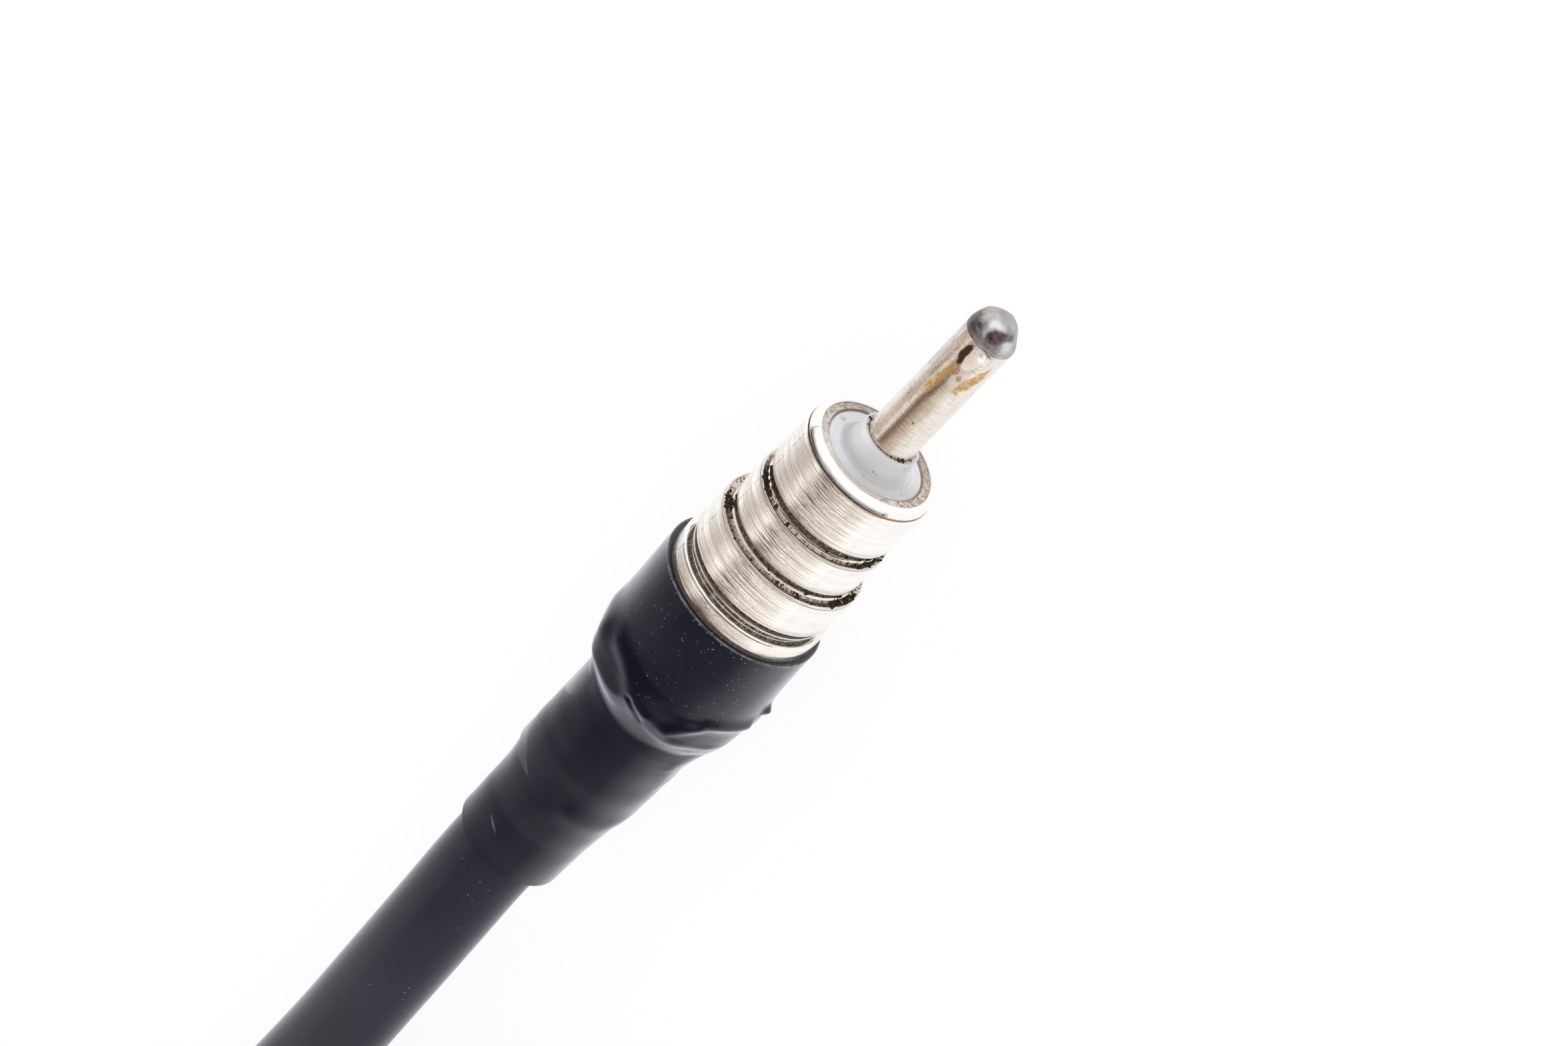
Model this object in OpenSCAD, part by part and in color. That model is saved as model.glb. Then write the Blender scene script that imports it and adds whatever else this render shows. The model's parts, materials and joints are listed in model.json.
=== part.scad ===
// Coaxial aerial lead: a stepped plug with a long centre pin on a black lead, wound into a
// tied coil that ends in a matching in-line socket. Millimetres, +Z up.
// The plug lies along X with its pin towards +X, and everything rests on the plane z = 0.

/* [Pin] */
// Outer diameter of the hollow centre pin
pin_d = 3.0; // [2.7:0.05:3.3]
// Bore down the middle of the pin
pin_bore_d = 1.5; // [1.3:0.05:1.7]
// How far the pin and its solder tip stand out of the barrel's rim
pin_reach = 11.9; // [9:0.1:15]
// Diameter of the pin's root, which fills the insulator's bore up to the top of its hub
pin_root_d = 3.4; // [3.4:0.05:3.6]
// Diameter of the flange at the pin's rear end
pin_flange_d = 3.9; // [3.7:0.05:4.1]
// Thickness of that flange
pin_flange_t = 1.1; // [0.8:0.1:1.4]
// Diameter of the side hole that solder is fed through
solder_hole_d = 1.2; // [0.8:0.1:1.3]
// Distance of the side hole behind the end of the pin tube
solder_hole_back = 1.8; // [1.2:0.1:3]
// Angle of the side hole away from straight up, about the pin, towards -Y
solder_hole_turn = 19; // [-60:1:60]

/* [Insulator] */
// Outer diameter of the plug's insulator, and the barrel's mouth
insulator_d = 6.1; // [5.8:0.05:6.3]
// Length of the insulator inside the barrel
insulator_len = 5.2; // [4.6:0.1:6]
// Height of the collar of plastic that rises round the pin
hub_h = 1.35; // [0.6:0.05:1.8]
// Width of the flat ring outside that collar
hub_flat_w = 0.75; // [0.4:0.05:0.9]

/* [Barrel] */
// Diameter of the front step
front_d = 8.2; // [7.9:0.05:8.3]
// Diameter of the middle step
middle_d = 8.45; // [8.3:0.05:8.8]
// Diameter of the rear step
rear_d = 9.3; // [9.1:0.05:9.5]
// Length of the front step, from the rim to the first groove
front_len = 3.9; // [3.4:0.1:5]
// Length of the middle step
middle_len = 2.4; // [1.8:0.1:3.5]
// Length of the rear step
rear_len = 2.6; // [1.8:0.1:3.5]
// Rounding of the rim's outer edge
rim_round = 0.6; // [0.3:0.05:0.8]
// Width of the first groove
groove1_w = 0.8; // [0.4:0.05:1]
// Radial depth of the first groove
groove1_deep = 0.33; // [0.2:0.01:0.45]
// Width of the second groove
groove2_w = 0.6; // [0.3:0.05:0.9]
// Radial depth of the second groove
groove2_deep = 0.15; // [0.08:0.01:0.3]
// Width of the twin groove in front of the collar
groove3_w = 0.9; // [0.7:0.05:1.2]
// Radial depth of the twin groove
groove3_deep = 0.35; // [0.2:0.01:0.45]
// Diameter of the spigot at the barrel's back
tail_d = 7.2; // [6.6:0.1:7.6]
// Length of that spigot
tail_len = 4.5; // [3.5:0.1:5.5]

/* [Collar and crimp] */
// Outer diameter of the collar
collar_d = 9.65; // [9.4:0.05:9.8]
// Length of the collar
collar_len = 8.1; // [7.2:0.1:9.5]
// Length of collar that shows in front of the sleeve
collar_show = 1.2; // [0.6:0.1:2]
// Wall of the thin crimp spigot that goes under the cable's braid
spigot_wall = 0.25; // [0.2:0.01:0.35]
// Length of the crimp spigot
spigot_len = 8.4; // [6:0.1:9.5]
// Wall of the crimp ferrule
ferrule_wall = 0.38; // [0.3:0.01:0.5]
// Length of the crimp ferrule
ferrule_len = 9.4; // [8:0.1:10.5]

/* [Sleeve] */
// Length of the shrunk sleeve
sleeve_len = 23.5; // [21:0.1:28]
// Wall of the sleeve where it is stretched over the collar
sleeve_wall_front = 0.3; // [0.25:0.01:0.4]
// Wall of the sleeve where it has shrunk right down to the cable
sleeve_wall_back = 0.48; // [0.35:0.01:0.6]
// Length of the slope from the collar down to the ferrule
sleeve_slope = 3.2; // [2:0.1:4]

/* [Cable] */
// Outer diameter of the cable
lead_d = 5.7; // [5.4:0.05:6]
// Diameter of the plastic round the core
dielectric_d = 3.7; // [3.5:0.05:3.9]
// Diameter of the core wire
core_d = 1.0; // [0.8:0.05:1.1]
// Thickness of the braid
braid_t = 0.25; // [0.2:0.01:0.3]

/* [Coil] */
// Radius of the coil's outermost turn, at the middle of the cable
coil_r = 37; // [34:0.5:42]
// Clear gap between neighbouring turns
turn_gap = 0.7; // [0.65:0.05:0.9]
// Full turns in each of the two layers
spiral_turns = 2; // [1:1:2]
// Thickness of the cable ties' band
tie_t = 0.6; // [0.4:0.05:1]
// Width of the cable ties' band
tie_w = 3.6; // [2.5:0.1:5]

/* [Socket] */
// Angle by which the socket lies rolled about its own axis
socket_roll = 8.3; // [-40:0.1:40]
// Outer diameter of the socket's shell
shell_d = 12; // [11.2:0.1:13]
// Diameter of the socket's mouth
mouth_d = 9.7; // [9.5:0.05:10]
// Diameter inside the slotted grip ring that takes the plug's front step
grip_d = 8.3; // [8.25:0.01:8.4]
// Width of the slots in the grip ring
grip_slot_w = 0.8; // [0.5:0.1:1]
// Wall of the socket's centre contact
contact_wall = 0.55; // [0.4:0.05:0.7]
// Depth of the centre contact's bore
contact_deep = 12.4; // [11:0.1:16]
// Width of the slot in the centre contact
contact_slot_w = 0.4; // [0.3:0.05:0.6]

/* [Hidden] */

// Steps of a full circle in turned pieces, and in the small circles of the ties
TURNED_STEPS = 96;
SMALL_STEPS = 32;
// Radial clearance between pieces that are fitted together for good
fit = 0.02;
// Radial clearance of a wire in its bore, and of the cable's insides in the crimp spigot
slide = 0.05;
// Length by which a cutter runs past the face that it cuts
past = 1;

// Radii that follow from the diameters above
pin_r = pin_d / 2;
pin_bore_r = pin_bore_d / 2;
root_r = pin_root_d / 2;
mouth_r = insulator_d / 2;
front_r = front_d / 2;
middle_r = middle_d / 2;
rear_r = rear_d / 2;
tail_r = tail_d / 2;
collar_r = collar_d / 2;
lead_r = lead_d / 2;
dielectric_r = dielectric_d / 2;
core_r = core_d / 2;
shell_r = shell_d / 2;

// Passage behind the insulator, wide enough for the cable's dielectric
passage_r = dielectric_r + 0.3;

// Crimp, from the inside out: spigot, braid, jacket, ferrule
spigot_in_r = dielectric_r + slide;
spigot_out_r = spigot_in_r + spigot_wall;
braid_over_r = spigot_out_r + fit + braid_t;
jacket_t = lead_r - dielectric_r - braid_t - 2 * fit;
jacket_over_r = braid_over_r + fit + jacket_t;
ferrule_in_r = jacket_over_r + fit;
ferrule_out_r = ferrule_in_r + ferrule_wall;

// Places along the plug, measured from the rim's face, backwards negative
front_end = -front_len;
middle_start = front_end - groove1_w;
middle_end = middle_start - middle_len;
rear_start = middle_end - groove2_w;
rear_end = rear_start - rear_len;
collar_start = rear_end - groove3_w;

// Places along the back part, measured from the collar's front face, backwards negative
collar_back = -collar_len;
tail_pocket = -(tail_len + 0.2);
spigot_end = collar_back - spigot_len;
jacket_start = collar_back - 0.3;
ferrule_start = collar_back - 0.6;
ferrule_end = ferrule_start - ferrule_len;
braid_narrow = spigot_end - 1.2;
sleeve_front = -collar_show;
cable_end = sleeve_front - sleeve_len;

// The plug's own length, with its middle over the origin
plug_len = pin_reach - collar_start - cable_end;
rim_x = plug_len / 2 - pin_reach;
exit_x = -plug_len / 2;
// Height of the plug's axis, so that the sleeve touches the surface
sleeve_big_r = collar_r + fit + sleeve_wall_front;
axis_z = sleeve_big_r;

// Places along the pin and insulator, measured from the rim's face
pin_end = pin_reach - pin_r;
pin_rear = -(insulator_len - 0.1);
wire_end = pin_end + pin_r / 2;
insulator_recess = 0.12;
solder_stem = pin_end - solder_hole_back - solder_hole_d;

// Bore behind the socket's mouth, stepped in where the grip ring's front end lies
seat_step = 0.3;
seat_r = mouth_d / 2 - seat_step;
// Places along the socket, measured from its mouth, inwards negative
grip_start = collar_start + front_len + 0.2;
grip_end = collar_start - 0.2;
grip_ring_w = 1.1;
socket_insulator_front = grip_end - 0.1;
contact_out_r = pin_r + 0.03 + contact_wall;
contact_in_r = pin_r + 0.03;
contact_front = socket_insulator_front - 0.4;
contact_floor = contact_front - contact_deep;
contact_cup = 2;
socket_floor = contact_floor - contact_cup - 0.3;
shell_back_wall = 1;
shell_back = socket_floor - shell_back_wall;

// ---- Coil: two flat spirals, wound inwards below and outwards above, as one tube ----

// Distance between the middles of neighbouring turns, sideways and upwards
pitch = lead_d + turn_gap;
// Part of a turn in which the cable climbs to the upper layer and its spiral reverses
climb_turns = 0.5;
coil_turns = 2 * spiral_turns + climb_turns;
inner_r = coil_r - pitch * spiral_turns;
low_z = tie_t + lead_r;
high_z = low_z + pitch;
// Angle between a steady spiral's outermost turn and a true circle
spiral_slope = atan(pitch / (2 * PI * coil_r));
// Point where the cable enters its outermost turn, heading along -X
coil_entry = [-68, 0];

function smooth(u) = let (v = min(max(u, 0), 1)) v * v * (3 - 2 * v);
function turned_by(p, a) = [p[0] * cos(a) - p[1] * sin(a), p[0] * sin(a) + p[1] * cos(a)];
function coil_radius(t) =
    let (s = t - spiral_turns)
    s < 0 ? coil_r - pitch * t
    : s < climb_turns ? inner_r - pitch * s + pitch * s * s / climb_turns
    : inner_r + pitch * (s - climb_turns);
function coil_angle(t) = 90 - spiral_slope + 360 * t;
function coil_height(t) = low_z + (high_z - low_z) * smooth((t - spiral_turns) / climb_turns);
coil_centre = coil_entry - coil_r * [cos(coil_angle(0)), sin(coil_angle(0))];
function coil_point(t) =
    let (flat = coil_centre + coil_radius(t) * [cos(coil_angle(t)), sin(coil_angle(t))])
    [flat[0], flat[1], coil_height(t)];

LOOP_RINGS = 24;
// The tube runs straight for one diameter at both ends
coil_start = [coil_entry[0] + lead_d, coil_entry[1], low_z];
leave_angle = -2 * spiral_slope;
leave_dir = [cos(leave_angle), sin(leave_angle), 0];
coil_finish = coil_point(coil_turns) + lead_d * leave_dir;
turns_path = [for (i = [0 : coil_turns * LOOP_RINGS]) coil_point(i / LOOP_RINGS)];
coil_path = concat([coil_start], turns_path, [coil_finish]);

// Least gap between the tube and itself, measured from each point to every stretch of tube
// that is at least half a turn away from it
function from_stretch(p, a, b) =
    let (u = min(max((p - a) * (b - a) / ((b - a) * (b - a)), 0), 1))
    norm(p - a - u * (b - a));
coil_gaps = [
    for (i = [0 : len(coil_path) - 1])
        for (j = [i + LOOP_RINGS / 2 : 1 : len(coil_path) - 2])
            from_stretch(coil_path[i], coil_path[j], coil_path[j + 1])
];
least_gap = min(coil_gaps) - lead_d;
echo(str("least gap of the coil to itself: ", least_gap, " mm"));

// ---- Free stretches of the cable ----

// Route from the plug to the coil, between the plug's exit and the coil's straight start
RUN_POINTS = [
    [-27, -0.05, 5.15],
    [-31, -0.2, 5.05],
    [-35, -0.3, 4.85],
    [-39, -0.35, 4.55],
    [-43, -0.4, 4.25],
    [-47, -0.35, 3.95],
    [-51, -0.25, 3.7],
    [-55, -0.1, 3.5],
    [-59, 0, 3.45]
];
run_path = concat([[exit_x, 0, axis_z]], RUN_POINTS, [coil_start]);

// Route from the coil to the socket: distance out, sideways shift, share of the way down
TAIL_POINTS = [
    [0, 0, 0],
    [4, 0, 0],
    [8, 0, 0.06],
    [12, 0, 0.22],
    [16, 0, 0.46],
    [20, 0, 0.7],
    [24, 0, 0.88],
    [28, 0, 0.98],
    [31, 0, 1],
    [34, 0, 1]
];
socket_z = shell_r;
function tail_place(p) =
    let (flat = turned_by([p[0], p[1]], leave_angle))
    [coil_finish[0] + flat[0], coil_finish[1] + flat[1], high_z + p[2] * (socket_z - high_z)];
tail_path = [for (p = TAIL_POINTS) tail_place(p)];
socket_exit = tail_path[len(tail_path) - 1];
// Distance from the socket's cable exit to its mouth
socket_len = -(shell_back + cable_end);

function path_len(path) =
    let (steps = [for (i = [1 : len(path) - 1]) norm(path[i] - path[i - 1])])
    steps * [for (s = steps) 1];
echo(str("free cable: ", path_len(run_path) + path_len(coil_path) + path_len(tail_path), " mm"));

// ---- Shared shapes ----

// A closed tube along path, its ends square to start_dir and end_dir
module swept(path, start_dir, end_dir, r, sides) {
    last = len(path) - 1;
    dirs = [
        for (i = [0 : last])
            i == 0 ? start_dir
            : i == last ? end_dir
            : (path[i + 1] - path[i - 1]) / norm(path[i + 1] - path[i - 1])
    ];
    points = [
        for (i = [0 : last])
            let (
                across = cross([0, 0, 1], dirs[i]),
                side = across / norm(across),
                up = cross(dirs[i], side)
            )
            for (k = [0 : sides - 1])
                path[i] + r * (cos(360 * k / sides) * side + sin(360 * k / sides) * up)
    ];
    wall = [
        for (i = [0 : last - 1])
            for (k = [0 : sides - 1])
                let (
                    a = i * sides + k,
                    b = i * sides + (k + 1) % sides
                )
                each [[a, a + sides, b + sides], [a, b + sides, b]]
    ];
    start_cap = [for (k = [1 : sides - 2]) [0, k, k + 1]];
    first = last * sides;
    end_cap = [for (k = [1 : sides - 2]) [first, first + k + 1, first + k]];
    polyhedron(points = points, faces = concat(wall, start_cap, end_cap), convexity = 10);
}

// A solid turned about the axis, from its outline of [radius, place along the axis]
module turned(outline) {
    rotate_extrude($fn = TURNED_STEPS) polygon(outline);
}

module rod(r, from, to) {
    translate([0, 0, from]) cylinder(r = r, h = to - from, $fn = TURNED_STEPS);
}

module pipe(r_out, r_in, from, to) {
    difference() {
        rod(r_out, from, to);
        rod(r_in, from - past, to + past);
    }
}

// Places a turned piece in the plug: its own zero at the rim's face
module in_plug() {
    translate([rim_x, 0, axis_z]) rotate([0, 90, 0]) children();
}

// Places a piece of the back part in the plug: its own zero at the collar's front face
module behind_plug() {
    in_plug() translate([0, 0, collar_start]) children();
}

// Places a turned piece in the socket: its own zero at the mouth
module in_socket() {
    translate(socket_exit)
        rotate([0, 0, leave_angle])
            rotate([0, 90, 0])
                translate([0, 0, socket_len])
                    rotate([0, 0, socket_roll])
                        children();
}

module behind_socket() {
    in_socket() translate([0, 0, shell_back]) children();
}

// Points of a quarter circle from angle a to b
function arc(centre, r, a, b, steps) = [
    for (i = [0 : steps]) centre + r * [cos(a + (b - a) * i / steps), sin(a + (b - a) * i / steps)]
];

// ---- Plug ----

// The hollow pin: a tube with a thicker root and a flange inside the insulator, and a solder
// hole in its side
module centre_pin() color([0.78, 0.74, 0.69]) in_plug() difference() {
    union() {
        rod(pin_r, pin_rear, pin_end);
        rod(root_r, pin_rear, hub_h);
        rod(pin_flange_d / 2, pin_rear, pin_rear + pin_flange_t);
    }
    rod(pin_bore_r, pin_rear - past, pin_end + past);
    solder_hole(solder_hole_d / 2, pin_r + past);
}

// A cylinder from the pin's axis out through its side hole
module solder_hole(r, reach) {
    translate([0, 0, pin_end - solder_hole_back])
        rotate([0, 0, solder_hole_turn])
            rotate([0, -90, 0])
                cylinder(r = r, h = reach, $fn = TURNED_STEPS);
}

// Solder: the domed tip, the fill between core wire and bore, and the fill of the side hole
module pin_solder() color([0.55, 0.53, 0.54]) in_plug() difference() {
    union() {
        turned(concat([[0, pin_end]], arc([0, pin_end], pin_r, 0, 90, 12)));
        rod(pin_bore_r - fit, solder_stem, pin_end + fit);
        solder_hole(solder_hole_d / 2 - fit, pin_r - 0.25);
    }
    rod(core_r + fit, solder_stem - past, wire_end);
}

// Insulator: flat ring, then a concave slope that rises to meet the pin
module plug_insulator() color([0.80, 0.81, 0.83]) in_plug() {
    top = hub_h;
    flat_in = mouth_r - hub_flat_w;
    hub_lip_w = 0.1;
    bore_r = root_r + fit;
    neck_r = bore_r + hub_lip_w;
    body_r = mouth_r - fit;
    slope_w = flat_in - neck_r;
    slope = [
        for (i = [0 : 8])
            let (a = 90 * i / 8)
            [flat_in - slope_w * sin(a), (top + insulator_recess) * (1 - cos(a)) - insulator_recess]
    ];
    turned(concat(
        [[body_r, -insulator_len], [body_r, -insulator_recess]],
        slope,
        [
            [bore_r, top],
            [bore_r, pin_rear + pin_flange_t + fit],
            [pin_flange_d / 2 + fit, pin_rear + pin_flange_t + fit],
            [pin_flange_d / 2 + fit, -insulator_len]
        ]
    ));
}

// Barrel: three steps with a groove in front of each edge, and a spigot for the collar
module plug_barrel() color([0.80, 0.76, 0.71]) in_plug() {
    rim = arc([front_r - rim_round, -rim_round], rim_round, 90, 0, 8);
    groove1_r = front_r - groove1_deep;
    groove2_r = middle_r - groove2_deep;
    groove3_r = rear_r - groove3_deep;
    ridge_r = rear_r - groove3_deep / 2;
    turned(concat(
        [[mouth_r, -insulator_len], [mouth_r, 0]],
        rim,
        [
            [front_r, front_end],
            [groove1_r, front_end],
            [groove1_r, middle_start],
            [middle_r, middle_start],
            [middle_r, middle_end],
            [groove2_r, middle_end],
            [groove2_r, rear_start],
            [rear_r, rear_start],
            [rear_r, rear_end],
            [groove3_r, rear_end - groove3_w * 0.25],
            [ridge_r, rear_end - groove3_w * 0.5],
            [groove3_r, rear_end - groove3_w * 0.75],
            [groove3_r, collar_start],
            [tail_r, collar_start],
            [tail_r, collar_start - tail_len],
            [passage_r, collar_start - tail_len],
            [passage_r, -insulator_len]
        ]
    ));
}

// ---- The back part, the same on the plug and on the socket ----

// Collar: screwed over the spigot, with a thin crimp spigot at its back
module collar() color([0.80, 0.76, 0.71]) {
    chamfer = 0.2;
    pocket_r = tail_r + fit;
    turned([
        [pocket_r, 0],
        [collar_r - chamfer, 0],
        [collar_r, -chamfer],
        [collar_r, collar_back + chamfer],
        [collar_r - chamfer, collar_back],
        [spigot_out_r, collar_back],
        [spigot_out_r, spigot_end],
        [spigot_in_r, spigot_end],
        [spigot_in_r, tail_pocket],
        [pocket_r, tail_pocket]
    ]);
}

// Ferrule: squeezes the cable's jacket and braid onto the crimp spigot
module ferrule() color([0.78, 0.74, 0.69]) {
    pipe(ferrule_out_r, ferrule_in_r, ferrule_end, ferrule_start);
}

// The end of the cable's jacket, opened out over the crimp spigot
module jacket_end() color([0.10, 0.11, 0.14]) {
    turned([
        [braid_over_r + fit, jacket_start],
        [jacket_over_r, jacket_start],
        [jacket_over_r, spigot_end],
        [lead_r, braid_narrow],
        [lead_r, cable_end],
        [lead_r - jacket_t, cable_end],
        [lead_r - jacket_t, braid_narrow],
        [braid_over_r + fit, spigot_end]
    ]);
}

// The end of the braid, pushed over the crimp spigot
module braid_end() color([0.72, 0.45, 0.30]) {
    narrow_r = dielectric_r + fit;
    turned([
        [spigot_out_r + fit, jacket_start],
        [braid_over_r, jacket_start],
        [braid_over_r, spigot_end],
        [narrow_r + braid_t, braid_narrow],
        [narrow_r + braid_t, cable_end],
        [narrow_r, cable_end],
        [narrow_r, braid_narrow],
        [spigot_out_r + fit, spigot_end]
    ]);
}

// The stripped plastic round the core wire
module dielectric_end(front) color([0.88, 0.88, 0.86]) {
    pipe(dielectric_r, core_r + fit, cable_end, front);
}

// Shrunk sleeve: tight over the collar, sloping to the ferrule, then down to the cable
module sleeve() color([0.09, 0.10, 0.13]) {
    over_collar = collar_r + fit;
    over_ferrule = ferrule_out_r + fit;
    over_cable = lead_r + fit;
    middle_wall = (sleeve_wall_front + sleeve_wall_back) / 2;
    slope_start = collar_back + 0.3;
    slope_end = slope_start - sleeve_slope;
    step_start = ferrule_end - 0.2;
    step_end = step_start - 1.6;
    turned([
        [over_collar, sleeve_front],
        [over_collar + sleeve_wall_front, sleeve_front],
        [over_collar + sleeve_wall_front, slope_start],
        [over_ferrule + middle_wall + 0.12, slope_end],
        [over_ferrule + middle_wall, slope_end - 1],
        [over_ferrule + middle_wall, step_start],
        [over_cable + sleeve_wall_back, step_end],
        [over_cable + sleeve_wall_back, cable_end],
        [over_cable, cable_end],
        [over_cable, step_end],
        [over_ferrule, step_start],
        [over_ferrule, slope_end],
        [over_collar, slope_start]
    ]);
}

module rear_collar() behind_plug() collar();
module crimp_ferrule() behind_plug() ferrule();
module cable_jacket_end() behind_plug() jacket_end();
module cable_braid_end() behind_plug() braid_end();
module cable_dielectric_end() behind_plug() dielectric_end(pin_rear - collar_start - fit);
module shrink_sleeve() behind_plug() sleeve();

// Core wire: through the dielectric and the pin into the solder tip
module core_wire() color([0.72, 0.45, 0.30]) in_plug() {
    rod(core_r, collar_start + cable_end, wire_end - fit);
}

// ---- Lead ----

module lead_run() color([0.09, 0.10, 0.13]) swept(run_path, [-1, 0, 0], [-1, 0, 0], lead_r, 12);

module lead_coil() color([0.09, 0.10, 0.13]) swept(coil_path, [-1, 0, 0], leave_dir, lead_r, 6);

module lead_tail() color([0.09, 0.10, 0.13]) swept(tail_path, leave_dir, leave_dir, lead_r, 12);

// A square of the given size with round corners, its lower left corner at the origin
module rounded(size, r) {
    translate([r, 0]) square([size[0] - 2 * r, size[1]]);
    translate([0, r]) square([size[0], size[1] - 2 * r]);
    for (x = [r, size[0] - r], y = [r, size[1] - r])
        translate([x, y]) circle(r = r, $fn = SMALL_STEPS);
}

// One tie: a band round all the turns that cross at this share of a turn, with its head on top
module tie(share) {
    clear = 0.3;
    corner = 2;
    head = [5, tie_w + 1.4, 3];
    radii = [for (t = [share : 1 : coil_turns]) coil_radius(t)];
    low = min(radii) - lead_r - clear;
    high = max(radii) + lead_r + clear;
    top = high_z + lead_r + clear;
    translate([coil_centre[0], coil_centre[1], 0])
        rotate([0, 0, coil_angle(share)]) {
            translate([0, tie_w / 2, 0])
                rotate([90, 0, 0])
                    linear_extrude(tie_w)
                        difference() {
                            translate([low - tie_t, 0])
                                rounded([high - low + 2 * tie_t, top + tie_t], corner + tie_t);
                            translate([low, tie_t]) rounded([high - low, top - tie_t], corner);
                        }
            translate([low + corner, -head[1] / 2, top + tie_t / 2]) cube(head);
        }
}

module coil_ties() color([0.07, 0.07, 0.08]) for (share = [0.25, 0.75]) tie(share);

// ---- Socket ----

// Shell: a tube with a straight bore, a back wall and the same spigot as the barrel
module socket_shell() color([0.80, 0.76, 0.71]) in_socket() {
    chamfer = 0.4;
    bore_r = mouth_d / 2;
    turned([
        [seat_r, socket_floor],
        [seat_r, grip_start],
        [bore_r, grip_start],
        [bore_r, -chamfer],
        [bore_r + chamfer, 0],
        [shell_r - chamfer, 0],
        [shell_r, -chamfer],
        [shell_r, shell_back + chamfer],
        [shell_r - chamfer, shell_back],
        [tail_r, shell_back],
        [tail_r, shell_back - tail_len],
        [passage_r, shell_back - tail_len],
        [passage_r, socket_floor]
    ]);
}

// Grip ring: a slotted ring that springs onto the plug's front step
module socket_grip_ring() color([0.84, 0.76, 0.58]) in_socket() difference() {
    slot_turn = 22.5;
    pipe(seat_r - fit, grip_d / 2, grip_end, grip_start);
    for (a = [slot_turn, slot_turn + 90])
        rotate([0, 0, a])
            translate([-mouth_d, -grip_slot_w / 2, grip_end + grip_ring_w])
                cube([2 * mouth_d, grip_slot_w, grip_start - grip_end]);
}

module socket_insulator() color([0.80, 0.81, 0.83]) in_socket() {
    pipe(seat_r - fit, contact_out_r + fit, socket_floor + fit, socket_insulator_front);
}

// Centre contact: a tube slotted across its front, with a solder cup at its back
module socket_contact() color([0.84, 0.76, 0.58]) in_socket() difference() {
    rod(contact_out_r, contact_floor - contact_cup, contact_front);
    rod(contact_in_r, contact_floor, contact_front + past);
    rod(core_r + slide, contact_floor - contact_cup - past, contact_floor + past);
    translate([-contact_out_r - past, -contact_slot_w / 2, contact_floor + contact_deep / 3])
        cube([2 * (contact_out_r + past), contact_slot_w, contact_deep]);
}

module socket_collar() behind_socket() collar();
module socket_ferrule() behind_socket() ferrule();
module socket_jacket_end() behind_socket() jacket_end();
module socket_braid_end() behind_socket() braid_end();
module socket_dielectric_end() behind_socket() dielectric_end(shell_back_wall);
module socket_sleeve() behind_socket() sleeve();

module socket_core_wire() color([0.72, 0.45, 0.30]) in_socket() {
    rod(core_r, shell_back + cable_end, contact_floor - fit);
}

centre_pin();
pin_solder();
plug_insulator();
plug_barrel();
rear_collar();
crimp_ferrule();
cable_jacket_end();
cable_braid_end();
cable_dielectric_end();
core_wire();
shrink_sleeve();
lead_run();
lead_coil();
lead_tail();
coil_ties();
socket_shell();
socket_grip_ring();
socket_insulator();
socket_contact();
socket_collar();
socket_ferrule();
socket_jacket_end();
socket_braid_end();
socket_dielectric_end();
socket_core_wire();
socket_sleeve();
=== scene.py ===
# %% [markdown]
# # A coaxial aerial lead
# This file dresses the solids of a coaxial lead: a nickel-plated plug with a soldered pin, a
# shrunk sleeve, a black cable wound into a tied coil, and a socket at its far end.
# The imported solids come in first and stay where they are. Every visible piece is then built
# round them, in the same frame, so that nothing has to be fitted by eye.

import json
import math

import bmesh
import bpy
import numpy as np
from mathutils import Matrix, Vector, noise

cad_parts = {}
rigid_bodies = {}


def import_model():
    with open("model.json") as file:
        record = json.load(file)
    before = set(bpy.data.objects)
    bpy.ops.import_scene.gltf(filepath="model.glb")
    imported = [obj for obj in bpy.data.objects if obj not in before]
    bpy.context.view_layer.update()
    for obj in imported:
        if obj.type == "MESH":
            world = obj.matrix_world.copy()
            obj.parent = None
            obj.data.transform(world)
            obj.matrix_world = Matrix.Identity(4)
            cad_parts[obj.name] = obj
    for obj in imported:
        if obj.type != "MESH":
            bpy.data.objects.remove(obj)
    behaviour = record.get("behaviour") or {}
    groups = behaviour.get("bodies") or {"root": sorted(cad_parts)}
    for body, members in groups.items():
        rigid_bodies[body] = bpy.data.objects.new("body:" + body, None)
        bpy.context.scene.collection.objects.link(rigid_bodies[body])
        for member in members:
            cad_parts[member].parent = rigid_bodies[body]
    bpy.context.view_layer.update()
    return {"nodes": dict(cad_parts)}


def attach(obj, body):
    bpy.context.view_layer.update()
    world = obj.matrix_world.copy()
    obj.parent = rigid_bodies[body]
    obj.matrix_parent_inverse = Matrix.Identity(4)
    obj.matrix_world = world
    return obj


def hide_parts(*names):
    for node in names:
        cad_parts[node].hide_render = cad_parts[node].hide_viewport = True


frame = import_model()

# %% [markdown]
# ## Where things are
# Lengths are written in millimetres, as on a drawing, and become metres when a mesh is made.
# Two places carry all turned pieces. The plug's place has its zero over the origin, on the plug's
# axis. The socket's place has its zero at the socket's mouth. Along both, x runs out of the
# connector's open end, so one profile can serve both ends of the lead.

# %% Places of the two connectors
MM = 0.001


class Place:
    """A spot and a heading on the floor plan, for pieces drawn in millimetres along their x."""

    def __init__(self, origin, heading):
        self.origin = np.array(origin, float)
        self.heading = math.radians(heading)

    def put(self, points):
        points = np.asarray(points, float)
        c, s = math.cos(self.heading), math.sin(self.heading)
        turn = np.array([[c, -s, 0], [s, c, 0], [0, 0, 1]])
        return (points @ turn.T + self.origin) * MM


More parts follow.
